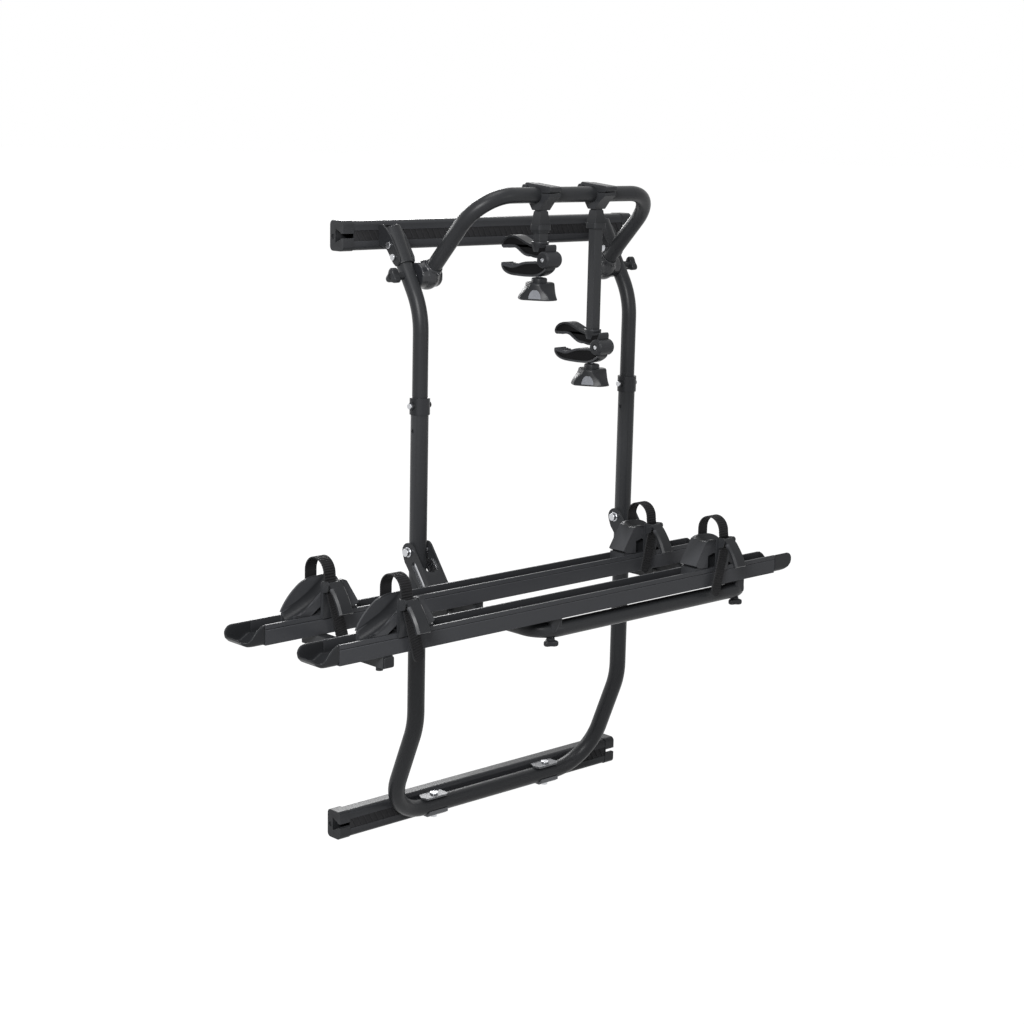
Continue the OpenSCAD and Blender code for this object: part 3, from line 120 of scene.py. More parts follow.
def add_node(
    tree: Tree,
    kind: str,
    settings: dict[str, object] | None = None,
    inputs: dict[str | int, object] | None = None,
) -> bpy.types.Node:
    """Adds one shader node of a kind, such as "ShaderNodeTexNoise", to a node tree.

    The settings are the node's properties, and the inputs are values or the sockets that feed
    them.
    """
    node = tree.nodes.new(kind)
    for name, value in (settings or {}).items():
        setattr(node, name, value)
    for key, value in (inputs or {}).items():
        if isinstance(value, Socket):
            tree.links.new(value, node.inputs[key])
        else:
            node.inputs[key].default_value = value
    return node


def mapped(
    tree: Tree,
    value: Socket,
    source: Pair = (0.0, 1.0),
    target: Pair = (0.0, 1.0),
) -> Socket:
    """Maps a value from one range to another."""
    names = ("From Min", "From Max", "To Min", "To Max")
    inputs = {"Value": value, **dict(zip(names, (*source, *target)))}
    return add_node(tree, "ShaderNodeMapRange", inputs=inputs).outputs["Result"]


def blended(tree: Tree, share: Socket, one: object, two: object) -> Socket:
    """Mixes two colours."""
    inputs = {0: share, 6: one, 7: two}
    return add_node(tree, "ShaderNodeMix", {"data_type": "RGBA"}, inputs).outputs[2]


def highest(tree: Tree, one: Socket, two: Socket) -> Socket:
    """Gives the higher of two values."""
    inputs = {0: one, 1: two}
    return add_node(tree, "ShaderNodeMath", {"operation": "MAXIMUM"}, inputs).outputs["Value"]


def noise(
    tree: Tree, place: Socket, size_mm: float, detail: float, roughness: float = 0.5
) -> Socket:
    """Gives noise with patches of a size."""
    inputs = {
        "Vector": place,
        "Scale": 1 / (size_mm * MM),
        "Detail": detail,
        "Roughness": roughness,
    }
    return add_node(tree, "ShaderNodeTexNoise", inputs=inputs).outputs["Fac"]


class Grain(Enum):
    """How the small relief of a surface runs."""

    PEEL = "soft bumps of a baked powder coat"
    PEBBLE = "cells of a spark-eroded mould"
    DRAWN = "fine lines along an extrusion"


@dataclass(frozen=True)
class Finish:
    """One real material, with how its surface was made.

    Attributes:
        name: Name of the Blender material.
        colour: Main colour, sRGB hex.
        shade: Colour of the slow patches, sRGB hex.
        worn: Colour along rubbed edges, sRGB hex.
        roughness: Middle roughness.
        swing: How far the roughness goes up and down.
        metallic: Metallic value.
        ior: Index of refraction of a coat or plastic.
        specular: Specular level.
        grain: How the relief runs.
        grain_mm: Width of one bump or line.
        depth_mm: Depth of the relief.
        patch_mm: Size of the slow patches.
    """

    name: str
    colour: str
    shade: str
    worn: str
    roughness: float
    swing: float
    metallic: float = 0.0
    ior: float = 1.5
    specular: float = 0.5
    grain: Grain = Grain.PEEL
    grain_mm: float = 2.0
    depth_mm: float = 0.05
    patch_mm: float = 90.0

    def material(self) -> bpy.types.Material:
        """Builds the material, or returns it where it was built before."""
        found = bpy.data.materials.get(self.name)
        if found is not None:
            return found
        made = bpy.data.materials.new(self.name)
        made.diffuse_color = linear(self.colour)
        tree = empty_tree(made)
        place = add_node(tree, "ShaderNodeTexCoord").outputs["Object"]
        bump = {
            "Strength": 0.5,
            "Distance": self.depth_mm * MM,
            "Height": self.relief(tree, place),
        }
        patches = noise(tree, place, self.patch_mm, 3.0)
        mixed = blended(tree, patches, linear(self.colour), linear(self.shade))
        pointiness = add_node(tree, "ShaderNodeNewGeometry").outputs["Pointiness"]
        edge = mapped(tree, pointiness, EDGE_POINTINESS, (0.0, WORN_SHARE))
        swing = (self.roughness - self.swing, self.roughness + self.swing)
        inputs = {
            "Base Color": blended(tree, edge, mixed, linear(self.worn)),
            "Roughness": mapped(tree, patches, PATCH_RANGE, swing),
            "Metallic": self.metallic,
            "IOR": self.ior,
            "Specular IOR Level": self.specular,
            "Normal": add_node(tree, "ShaderNodeBump", inputs=bump).outputs["Normal"],
        }
        shader = add_node(tree, "ShaderNodeBsdfPrincipled", inputs=inputs).outputs["BSDF"]
        add_node(tree, "ShaderNodeOutputMaterial", inputs={"Surface": shader})
        return made

    def relief(self, tree: Tree, place: Socket) -> Socket:
        """Gives the height of the surface's small relief at a place."""
        if self.grain is Grain.PEBBLE:
            inputs = {"Vector": place, "Scale": 1 / (self.grain_mm * MM)}
            return add_node(tree, "ShaderNodeTexVoronoi", inputs=inputs).outputs["Distance"]
        if self.grain is Grain.DRAWN:
            inputs = {"Vector": place, "Scale": DRAWN_STRETCH}
            place = add_node(tree, "ShaderNodeMapping", inputs=inputs).outputs["Vector"]
        return noise(tree, place, self.grain_mm, 4.0, 0.55)


# Steel tube, powder coated and baked. The coat's orange peel, about a millimetre wide, is drawn a
# little coarser so that it just breaks up the long highlights.
POWDER_COAT = Finish(
    "powder_coated_steel_black", "#2b2c2e", "#242527", "#3e3f41", 0.36, 0.04,
    specular=0.16, grain_mm=2.2, depth_mm=0.03, patch_mm=140.0,
)  # fmt: skip

# Extruded aluminium, black anodised. Die lines run along the bar, and the oxide is a bit glossier
# than the paint.
ANODISED_BLACK = Finish(
    "anodised_aluminium_black", "#2a2b2d", "#232426", "#56575b", 0.34, 0.05,
    specular=0.12, grain=Grain.DRAWN, grain_mm=1.6, depth_mm=0.02, patch_mm=220.0,
)  # fmt: skip

# Glass-filled nylon, moulded in a spark-eroded tool. The pebble grain is drawn at 1.5 mm, twice
# its real size, and gives a soft broken sheen.
MOULDED_NYLON = Finish(
    "moulded_nylon_black", "#27282a", "#202123", "#4c4d50", 0.34, 0.05,
    specular=0.14, grain=Grain.PEBBLE, grain_mm=1.5, depth_mm=0.015, patch_mm=45.0,
)  # fmt: skip

# The same nylon in the sunk panels of the jaws, where the tool's texture is coarser and drier.
# # Its colour is drawn darker than the nylon's own, as painted shade in the sunk panels.
PANEL_NYLON_PAINTED_SHADE = Finish(
    "nylon_panel_painted_shade", "#141415", "#101011", "#222224", 0.60, 0.05,
    specular=0.04, grain=Grain.PEBBLE, grain_mm=1.2, depth_mm=0.03, patch_mm=30.0,
)  # fmt: skip

# Nylon of the hoop's hubs, polished in the tool, so that it has one clear soft highlight.
POLISHED_NYLON = Finish(
    "polished_nylon_black", "#2a2b2e", "#242528", "#45464a", 0.24, 0.03,
    specular=0.40, grain_mm=3.0, depth_mm=0.01, patch_mm=60.0,
)  # fmt: skip

# Soft thermoplastic rubber of pads and straps, matt, with a dusty bloom.
SOFT_RUBBER = Finish(
    "thermoplastic_rubber_black", "#202021", "#19191a", "#3a3a3c", 0.54, 0.05,
    specular=0.08, grain_mm=1.8, depth_mm=0.02, patch_mm=30.0,
)  # fmt: skip

# Dark grey rubber that lines the jaws.
JAW_RUBBER = Finish(
    "jaw_rubber_grey", "#38393c", "#303134", "#4c4d50", 0.56, 0.05,
    specular=0.10, grain_mm=1.6, depth_mm=0.03, patch_mm=25.0,
)  # fmt: skip

# Light grey grip inlays of the clamp knobs, overmoulded.
GRIP_GREY = Finish(
    "overmoulded_grip_grey", "#7d7f84", "#717378", "#909297", 0.58, 0.04,
    specular=0.10, grain_mm=1.4, depth_mm=0.02, patch_mm=25.0,
)  # fmt: skip

# Zinc plated and clear passivated bolts, bright with a soft sheen.
BRIGHT_ZINC = Finish(
    "zinc_plated_steel_bright", "#c4c5c8", "#aeb0b4", "#e4e5e7", 0.28, 0.06,
    metallic=1.0, grain_mm=1.0, depth_mm=0.01, patch_mm=12.0,
)  # fmt: skip

# Zinc flake coating of the pressed clamp plates, satin grey with faint spangles.
SATIN_ZINC = Finish(
    "zinc_flake_steel_satin", "#4a4b4e", "#404144", "#77797c", 0.40, 0.06,
    metallic=0.35, grain=Grain.PEBBLE, grain_mm=3.0, depth_mm=0.01, patch_mm=25.0,
)  # fmt: skip

SLOT_FINISH = {
    "black_paint": POWDER_COAT,
    "black_alloy": ANODISED_BLACK,
    "black_plastic": MOULDED_NYLON,
    "black_rubber": SOFT_RUBBER,
    "bright_steel": BRIGHT_ZINC,
    "zinc_plate": SATIN_ZINC,
}
NODE_SLOT = {
    part["node"]: part["material_slot"] for part in frame["record"]["subparts"]
}


# Mesh helpers


def put(name: str, data: bpy.types.ID) -> bpy.types.Object:
    """Adds an object with its data to the scene."""
    made = bpy.data.objects.new(name, data)
    bpy.context.scene.collection.objects.link(made)
    return made


def mesh_of(name: str, bm: BMesh) -> bpy.types.Mesh:
    """Writes a bmesh to a new mesh, and frees it."""
    mesh = bpy.data.meshes.new(name)
    bm.to_mesh(mesh)
    bm.free()
    return mesh


def of_kind(geom: Iterable[object], kind: type) -> list:
    """Picks the vertices or the edges out of what an operator gives back."""
    return [item for item in geom if isinstance(item, kind)]


def flatten(bm: BMesh) -> None:
    """Makes flat faces whole."""
    angle = math.radians(0.6)
    bmesh.ops.dissolve_limit(bm, angle_limit=angle, verts=bm.verts, edges=bm.edges)


def node_mesh(node: str) -> BMesh:
    """Copies the mesh of a CAD node, with doubles merged and flat faces made whole."""
    bm = bmesh.new()
    bm.from_mesh(frame["nodes"][node].data)
    bmesh.ops.remove_doubles(bm, verts=bm.verts, dist=0.002 * MM)
    flatten(bm)
    return bm


def sharp_edges(bm: BMesh, angle: float) -> list[Edge]:
    """Finds the edges whose two faces meet at more than an angle, in degrees."""
    least = math.radians(angle)
    return [
        edge
        for edge in bm.edges
        if len(edge.link_faces) == 2 and edge.calc_face_angle(0.0) > least
    ]


def round_edges(
    bm: BMesh, edges: list[Edge], width: float, segments: int = 2
) -> None:
    """Rounds edges of a mesh to a width in millimetres."""
    bmesh.ops.bevel(
        bm, geom=edges, offset=width * MM, offset_type="OFFSET", segments=segments,
        profile_type="SUPERELLIPSE", profile=0.5, affect="EDGES", clamp_overlap=True, material=-1,
    )  # fmt: skip


def soften(bm: BMesh, width: float, angle: float = 32.0) -> None:
    """Rounds the edges of a mesh that are sharper than an angle, in degrees."""
    round_edges(bm, sharp_edges(bm, angle), width)


def add_piece(
    name: str,
    bm: BMesh,
    finish: Finish,
    body: str,
    slot: str,
    replaces: Iterable[str] = (),
    smooth: float = 38.0,
) -> bpy.types.Object:
    """Makes an object of a mesh, dresses it and sets it on its CAD body.

    Args:
        name: Name of the piece.
        bm: Its mesh, in metres in the shared frame, which is freed here.
        finish: Its finish.
        body: CAD body that it rides on.
        slot: Material slot of the record; not used.
        replaces: CAD nodes that it stands for.
        smooth: Edges sharper than this angle stay sharp, in degrees.

    Returns:
        The new object.
    """
    for face in bm.faces:
        face.smooth = True
    mesh = mesh_of(name, bm)
    mesh.set_sharp_from_angle(angle=math.radians(smooth))
    mesh.materials.append(finish.material())
    piece = put(name, mesh)
    normals = piece.modifiers.new("even_normals", "WEIGHTED_NORMAL")
    normals.keep_sharp = True
    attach(piece, body)
    if replaces:
        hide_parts(*replaces)
    LOG.info("piece %s: %d faces", name, len(mesh.polygons))
    return piece


def stand_in(
    node: str, suffix: str, bm: BMesh, finish: Finish | None = None, smooth: float = 38.0
) -> bpy.types.Object:
    """Stands a piece in for a CAD node, on its body, with the finish of the node's slot or another.

    The suffix follows the node's name in the name of the piece. The rest is as in add_piece.
    """
    slot = NODE_SLOT[node]
    made = finish or SLOT_FINISH[slot]
    return add_piece(f"{node}_{suffix}", bm, made, NODE_BODY[node], slot, [node], smooth)


def soft_copy(node: str, width: float) -> None:
    """Stands a copy in for a CAD node, with edges rounded to a width in millimetres."""
    bm = node_mesh(node)
    soften(bm, width)
    stand_in(node, "rounded", bm)


def melt(piece: bpy.types.Object, voxel: float, steps: int) -> None:
    """Melts a piece to one soft moulding: voxels of a size in millimetres, then smoothing."""
    piece.modifiers.clear()
    remesh = piece.modifiers.new("melt", "REMESH")
    remesh.mode = "VOXEL"
    remesh.voxel_size = voxel * MM
    remesh.use_smooth_shade = True
    flow = piece.modifiers.new("flow", "SMOOTH")
    flow.iterations = steps
    flow.factor = 0.5


def carved(bm: BMesh, cutter: BMesh) -> BMesh:
    """Cuts one closed mesh out of another, and frees both."""
    bmesh.ops.triangulate(bm, faces=bm.faces)
    before = len(bm.faces)
    whole, knife = (put("carving", mesh_of("carving", shape)) for shape in (bm, cutter))
    cut = whole.modifiers.new("cut", "BOOLEAN")
    cut.operation = "DIFFERENCE"
    cut.solver = "EXACT"
    cut.object = knife
    graph = bpy.context.evaluated_depsgraph_get()
    left = bpy.data.meshes.new_from_object(whole.evaluated_get(graph))
    result = bmesh.new()
    result.from_mesh(left)
    bpy.data.meshes.remove(left)
    LOG.info("carved: %d faces before, %d after", before, len(result.faces))
    for item in (whole, knife):
        mesh = item.data
        bpy.data.objects.remove(item)
        bpy.data.meshes.remove(mesh)
    return result


def merged(*parts: BMesh) -> BMesh:
    """Puts meshes together as one, and frees them."""
    whole = bmesh.new()
    for part in parts:
        mesh = mesh_of("merging", part)
        whole.from_mesh(mesh)
        bpy.data.meshes.remove(mesh)
    return whole


def dress(node: str) -> None:
    """Gives a CAD node that stays as it is the finish of its slot."""
    mesh = frame["nodes"][node].data
    mesh.materials.clear()
    mesh.materials.append(SLOT_FINISH[NODE_SLOT[node]].material())
    LOG.info("node %s: %s", node, NODE_SLOT[node])


def turned(*pairs: Pair) -> Rings:
    """Round rings, given as height and radius."""

    def plain(radius: float) -> Radius:
        return lambda turn: radius

    return [(height, plain(radius)) for height, radius in pairs]


def mirrored(pairs: Line) -> Rings:
    """Round rings on both sides of the middle, given as height and radius up from it."""
    return turned(*((-height, radius) for height, radius in reversed(pairs)), *pairs)


def ring_stack(place: Matrix, rings: Rings, segments: int) -> BMesh:
    """Draws a closed shape round an axis, one ring after another.

    Args:
        place: Where the axis stands and points, as the place of a shape drawn about Z.
        rings: Height and radius of each ring, in millimetres. The radius is a function of the
            angle round the axis, in degrees.
        segments: Number of corners of a ring.

    Returns:
        The mesh.
    """
    bm = bmesh.new()
    bmesh.ops.create_circle(bm, cap_ends=False, segments=segments, radius=1.0)
    verts, edges = list(bm.verts), list(bm.edges)
    for index, (height, radius) in enumerate(rings):
        if index:
            made = bmesh.ops.extrude_edge_only(bm, edges=edges)["geom"]
            verts = of_kind(made, Vert)
            edges = of_kind(made, Edge)
        for vert in verts:
            turn = math.degrees(math.atan2(vert.co.y, vert.co.x))
            angle = math.radians(turn)
            reach = radius(turn) * MM
            vert.co = (reach * math.cos(angle), reach * math.sin(angle), height * MM)
    bmesh.ops.holes_fill(bm, edges=bm.edges, sides=0)
    bmesh.ops.transform(bm, matrix=place, verts=bm.verts)
    bmesh.ops.recalc_face_normals(bm, faces=bm.faces)
    return bm


def slab(outline: Line, centre: Vector, half: float) -> BMesh:
    """Draws an outline out along X, to half a width on both sides of the centre.

    The outline gives Y and Z of each corner from the centre, in millimetres.
    """
    bm = bmesh.new()
    corners = [bm.verts.new(centre + Vector((-half, y, z)) * MM) for y, z in outline]
    side = bm.faces.new(corners)
    made = bmesh.ops.extrude_face_region(bm, geom=[side])["geom"]
    moved = of_kind(made, Vert)
    bmesh.ops.translate(bm, verts=moved, vec=((half + half) * MM, 0.0, 0.0))
    bmesh.ops.recalc_face_normals(bm, faces=bm.faces)
    return bm


def rounded(points: Line, closed: bool = False) -> list[Pair]:
    """Cuts the corners of a line twice."""
    for _ in range(2):
        ends = [*points, points[0]] if closed else points
        cut = [] if closed else [points[0]]
        for (y0, z0), (y1, z1) in zip(ends, ends[1:]):
            cut.append((0.75 * y0 + 0.25 * y1, 0.75 * z0 + 0.25 * z1))
            cut.append((0.25 * y0 + 0.75 * y1, 0.25 * z0 + 0.75 * z1))
        points = cut if closed else [*cut, points[-1]]
    return list(points)


def x_axis_place(centre: Vector, way: float) -> Matrix:
    """Place of a shape drawn about Z that is laid along X, towards +X or -X."""
    turn = Vector((way, 0, 0)).to_track_quat("Z", "Y").to_matrix().to_4x4()
    return Matrix.Translation(centre) @ turn


def wrapped_grid(
    across: int,
    up: int,
    place: Callable[[float, float], Vector],
    inside: Vector,
    thickness: float,
) -> BMesh:
    """Lays a grid on a surface and gives it a thickness behind it.

    Args:
        across: Number of columns.
        up: Number of rows.
        place: Point of the surface at a share of the width and of the height, from 0 to 1.
        inside: A point behind the middle of the surface.
        thickness: Thickness behind the surface, in millimetres.

    Returns:
        The closed mesh.
    """
    bm = bmesh.new()
    bmesh.ops.create_grid(bm, x_segments=across, y_segments=up, size=0.5)
    for vert in bm.verts:
        vert.co = place(vert.co.x + 0.5, vert.co.y + 0.5)
    bmesh.ops.remove_doubles(bm, verts=bm.verts, dist=0.01 * MM)
    bm.normal_update()
    middle = place(0.5, 0.5)
    face = min(bm.faces, key=lambda item: (item.calc_center_median() - middle).length)
    back = -thickness * MM
    if face.normal.dot(middle - inside) < 0:
        back = -back
    shifts = {tuple(vert.co): vert.normal * back for vert in bm.verts}
    made = bmesh.ops.extrude_face_region(bm, geom=list(bm.faces), use_keep_orig=True)["geom"]
    for vert in of_kind(made, Vert):
        vert.co += shifts[tuple(vert.co)]
    bmesh.ops.recalc_face_normals(bm, faces=bm.faces)
    return bm


def ease(value: float, low: float, high: float) -> float:
    """Goes smoothly from 0 to 1 as a value goes from low to high."""
    share = min(1.0, max(0.0, (value - low) / (high - low)))
    return share * share * (3 - 2 * share)


def along(points: Line, at: float) -> float:
    """Reads a line of points, straight between them, at a place."""
    for (x0, y0), (x1, y1) in zip(points, points[1:]):
        if at <= x1:
            return y0 + (y1 - y0) * min(1.0, max(0.0, (at - x0) / (x1 - x0)))
    return points[-1][1]


# Studio


@dataclass(frozen=True)
class Camera:
    """The camera, at the place and angle that the photograph was taken from.

    Attributes:
        place: Where it stands, in metres.
        yaw: Angle to the right of +Y that it looks, in degrees.
        pitch: Angle below the horizon that it looks, in degrees.
        roll: Turn about its own axis, in degrees.
        focal_px: Focal length in pixels of the photograph.
        frame_px: Width of the photograph, in pixels.
        sensor_mm: Width of the sensor.
    """

    place: Point = (-2.81646, -3.08551, 1.43405)
    yaw: float = 43.39
    pitch: float = 11.306
    roll: float = -1.273
    focal_px: float = 2010.15
    frame_px: int = 1024
    sensor_mm: float = 36.0

    def build(self) -> None:
        """Makes the camera and sets it as the scene's."""
        yaw, pitch, roll = (
            math.radians(angle) for angle in (self.yaw, self.pitch, self.roll)
        )
        ahead = Vector(
            (
                math.sin(yaw) * math.cos(pitch),
                math.cos(yaw) * math.cos(pitch),
                -math.sin(pitch),
            )
        )
        level = Vector((math.cos(yaw), -math.sin(yaw), 0.0))
        down = ahead.cross(level)
        right = level * math.cos(roll) + down * math.sin(roll)
        below = down * math.cos(roll) - level * math.sin(roll)
        data = bpy.data.cameras.new("photo_camera")
        data.sensor_width = self.sensor_mm
        data.lens = self.focal_px / self.frame_px * self.sensor_mm
        data.clip_end = 100.0
        camera = put("photo_camera", data)
        camera.matrix_world = (
            Matrix.Translation(self.place)
            @ Matrix((right, -below, -ahead)).transposed().to_4x4()
        )
        bpy.context.scene.camera = camera


@dataclass(frozen=True)
class Studio:
    """Pale floor, white surround and large soft lamps.

    Attributes:
        floor_z: Height of the floor, in metres.
        floor_radius: Radius of the floor, in metres.
        floor_grey: Colour of the floor's matt part, sRGB hex.
        floor_glow: Strength of its glowing part, which shows it white.
        glow_share: Share of the glowing part where the floor is seen.
        world_level: Strength of the surround's light on the object.
        lamps: Name, place, width and power of each lamp.
        aim: Point that the lamps face.
    """

    floor_z: float
    floor_radius: float = 60.0
    floor_grey: str = "#b4b4b4"
    floor_glow: float = 1.13
    glow_share: float = 0.9
    world_level: float = 0.07
    lamps: tuple[tuple[str, Point, float, float], ...] = (
        ("key_softbox", (-3.2, -2.5, 2.5), 1.3, 190.0),
        ("front_softbox", (1.4, -3.9, 1.5), 1.2, 12.0),
        ("top_softbox", (-0.4, -0.6, 4.0), 1.6, 45.0),
        ("rear_softbox", (1.9, 3.2, 2.4), 1.6, 85.0),
        ("far_softbox", (-0.9, 3.8, 1.6), 1.4, 45.0),
    )
    aim: Point = (-0.1, -0.25, 0.6)

    def build(self) -> None:
        """Makes the surround, the floor and the lamps."""
        self.surround()
        self.floor()
        for name, place, width, power in self.lamps:
            data = bpy.data.lights.new(name, "AREA")
            data.size = width
            data.energy = power
            lamp = put(name, data)
            lamp.location = place
            towards = Vector(self.aim) - Vector(place)
            lamp.rotation_euler = towards.to_track_quat("-Z", "Y").to_euler()

    def surround(self) -> None:
        """Makes the world white where it is seen, and dimmer where it lights matt surfaces."""
        world = bpy.data.worlds.new("white_surround")
        tree = empty_tree(world)
        rays = add_node(tree, "ShaderNodeLightPath").outputs
        glossy = highest(tree, rays["Is Camera Ray"], rays["Is Glossy Ray"])
        seen = highest(tree, glossy, rays["Is Transmission Ray"])
        inputs = {
            "Color": (1.0, 1.0, 1.0, 1.0),
            "Strength": mapped(tree, seen, target=(self.world_level, 1.0)),
        }
        light = add_node(tree, "ShaderNodeBackground", inputs=inputs).outputs["Background"]
        add_node(tree, "ShaderNodeOutputWorld", inputs={"Surface": light})
        bpy.context.scene.world = world

    def floor(self) -> None:
        """Makes the floor, mostly white by itself where it is seen, with the object's shadow."""
        made = bpy.data.materials.new("matt_white_floor")
        tree = empty_tree(made)
        rays = add_node(tree, "ShaderNodeLightPath").outputs
        seen = highest(tree, rays["Is Camera Ray"], rays["Is Glossy Ray"])
        share = mapped(tree, seen, target=(0.0, self.glow_share))
        inputs = {"Color": linear(self.floor_grey)}
        matt = add_node(tree, "ShaderNodeBsdfDiffuse", inputs=inputs).outputs["BSDF"]
        inputs = {"Strength": self.floor_glow}
        glow = add_node(tree, "ShaderNodeEmission", inputs=inputs).outputs["Emission"]
        inputs = {0: share, 1: matt, 2: glow}
        surface = add_node(tree, "ShaderNodeMixShader", inputs=inputs).outputs["Shader"]
        add_node(tree, "ShaderNodeOutputMaterial", inputs={"Surface": surface})
        bm = bmesh.new()
        bmesh.ops.create_circle(bm, cap_ends=True, segments=96, radius=self.floor_radius)
        bmesh.ops.translate(bm, verts=bm.verts, vec=(0.0, 0.0, self.floor_z))
        mesh = mesh_of("floor", bm)
        mesh.materials.append(made)
        floor = put("floor", mesh)
        floor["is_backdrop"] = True


# Knobs


@dataclass(frozen=True)
class ClampKnob:
    """Hand knob of a jaw: three flaring feet, and a ribbed inlay on each flat between them.

    Attributes:
        arm: Name of its arm, "short" or "long".
        feet: Angles of the feet, in degrees.
        height: Height of the flaring part, in millimetres.
        foot_line: Depth below the top and the distance of the side over a foot from the axis.
        flat_line: The same for the upright flats between the feet.
        foot_curve: Power of the cosine over a foot at the top, and what it gains to the bottom.
        flat_curve: The same over a flat.
        ridge: How softly two sides meet, in millimetres.
        sole: Height and inset of the rings under the feet and round their lower edge.
        side: Depth below the top of each ring of the side.
        crown: Height over the top, depth of the side and inset of each ring of the upper edge.
        neck: Height over the top and radius of each ring of the neck.
        thread: Pitch, core radius and crest radius of the screw.
        thread_start: Height over the top where its thread begins.
    """

    arm: str
    feet: tuple[float, ...] = (30.0, 150.0, 270.0)
    height: float = 34.0
    foot_line: Line = (
        (0.0, 23.0), (3.3, 23.8), (6.5, 25.0), (9.5, 26.8), (12.3, 28.9), (15.0, 31.2),
        (17.5, 33.4), (20.0, 35.5), (22.7, 37.3), (25.5, 39.0), (28.5, 40.4), (31.0, 41.0),
        (34.0, 41.0),
    )  # fmt: skip
    flat_line: Line = (
        (0.0, 29.2), (4.0, 29.8), (18.0, 30.6), (26.0, 31.6), (31.0, 32.6), (34.0, 32.8),
    )  # fmt: skip
    foot_curve: Pair = (0.9, -0.55)
    flat_curve: Pair = (0.3, 0.45)
    ridge: float = 0.9
    sole: Line = ((2.2, 16.0), (0.5, 7.0), (0.0, 4.6), (0.3, 2.6), (1.1, 1.0), (2.2, 0.2))
    side: tuple[float, ...] = (
        30.8, 29.0, 27.0, 25.0, 22.7, 20.0, 17.5, 15.0, 12.3, 9.5, 6.5, 4.6, 3.3,
    )  # fmt: skip
    crown: tuple[Point, ...] = (
        (-2.0, 2.0, 0.2), (-0.9, 1.0, 0.8), (-0.2, 0.0, 1.9), (0.0, 0.0, 3.4),
    )  # fmt: skip
    neck: Line = (
        (0.0, 16.6), (-0.8, 16.2), (-0.8, 15.5), (5.6, 15.5), (7.4, 14.9), (8.6, 13.4),
        (9.0, 11.6), (9.1, 7.6), (9.95, 7.4),
    )  # fmt: skip
    thread: Point = (1.25, 3.4, 4.0)
    thread_start: float = 8.0

    @property
    def node(self) -> str:
        """CAD node that the knob stands for."""
        return f"{self.arm}_jaw_knob"

    def radius(self, depth: float, turn: float) -> float:
        """Radius at a depth below the top and an angle, in millimetres."""
        share = depth / self.height
        off = min(abs((turn - foot + 180) % 360 - 180) for foot in self.feet)
        over_foot = along(self.foot_line, depth)
        power = self.foot_curve[0] + self.foot_curve[1] * share
        over_foot /= math.cos(math.radians(off)) ** power
        over_flat = along(self.flat_line, depth)
        power = self.flat_curve[0] + self.flat_curve[1] * share
        over_flat /= math.cos(math.radians(60 - off)) ** power
        gap = over_foot - over_flat
        middle = (over_foot + over_flat) / 2
        return middle - math.sqrt(gap * gap / 4 + self.ridge * self.ridge / 4)

    def build(self) -> None:
        """Builds the knob, its screw and its inlays."""
        low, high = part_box(self.node)
        tube_low, tube_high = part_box(f"{self.arm}_arm_tube")
        axis = Vector(((low.x + high.x) / 2, (tube_low.y + tube_high.y) / 2, low.z))
        place = Matrix.Translation(axis)
        body = NODE_BODY[self.node]
        slot = NODE_SLOT[self.node]
        bm = ring_stack(place, self.rings(), 144)
        add_piece(f"{self.arm}_clamp_knob", bm, MOULDED_NYLON, body, slot, [self.node])
        screw = ring_stack(place, self.screw_rings(high.z - low.z), 24)
        add_piece(f"{self.arm}_clamp_screw", screw, BRIGHT_ZINC, body, "bright_steel")
        behind = axis + Vector((0.0, 0.0, 12.0)) * MM
        for index, foot in enumerate(self.feet):
            inlay = wrapped_grid(90, 26, self.inlay(axis, foot + 60.0), behind, 1.4)
            add_piece(f"{self.arm}_knob_inlay_{index + 1}", inlay, GRIP_GREY, body, slot)

    def rings(self) -> Rings:
        """Rings of the knob from the foot up to the neck."""

        def ring(depth: float, inset: float = 0.0) -> Radius:
            return lambda turn: self.radius(depth, turn) - inset

        tall = self.height
        return [
            *turned((2.4, 8.0)),
            *((height, ring(tall, inset)) for height, inset in self.sole),
            *((tall - depth, ring(depth)) for depth in self.side),
            *((tall + over, ring(depth, inset)) for over, depth, inset in self.crown),
            *turned(*((tall + over, radius) for over, radius in self.neck)),
        ]

    def screw_rings(self, tall: float) -> Rings:
        """Rings of the screw, whose thread turns show as ridges."""
        pitch, core, crest = self.thread
        top = tall / MM - 0.2
        rings = []
        height = self.height + self.thread_start
        while height + pitch < top:
            rings += turned((height, core), (height + pitch / 2, crest))
            height += pitch
        return rings + turned((top, 3.2))

    def inlay(self, axis: Vector, turn: float) -> Callable[[float, float], Vector]:
        """Surface of the inlay on the flat at an angle."""
        low, tall, half_width, corner = 2.8, 18.5, 13.6, 2.1
        rib_pitch, rib_depth, proud, sunk = 1.7, 0.10, 0.15, 0.5
        side_rim, end_rim = 0.08, 0.06

        def place(across: float, up: float) -> Vector:
            side = (2 * across - 1) * half_width * math.sqrt(max(0.0, 1 - up**corner))
            height = low + tall * up
            depth = self.height - height
            off = math.degrees(math.atan2(side, along(self.flat_line, depth)))
            rim = ease(1 - abs(2 * across - 1), 0.0, side_rim) * ease(1 - up, 0.0, end_rim)
            rim *= ease(up, 0.0, end_rim)
            rib = rib_depth * math.cos(2 * math.pi * side / rib_pitch)
            reach = self.radius(depth, turn + off) - sunk + (proud + sunk + rib) * rim
            angle = math.radians(turn + off)
            spot = Vector((reach * math.cos(angle), reach * math.sin(angle), height))
            return axis + spot * MM

        return place


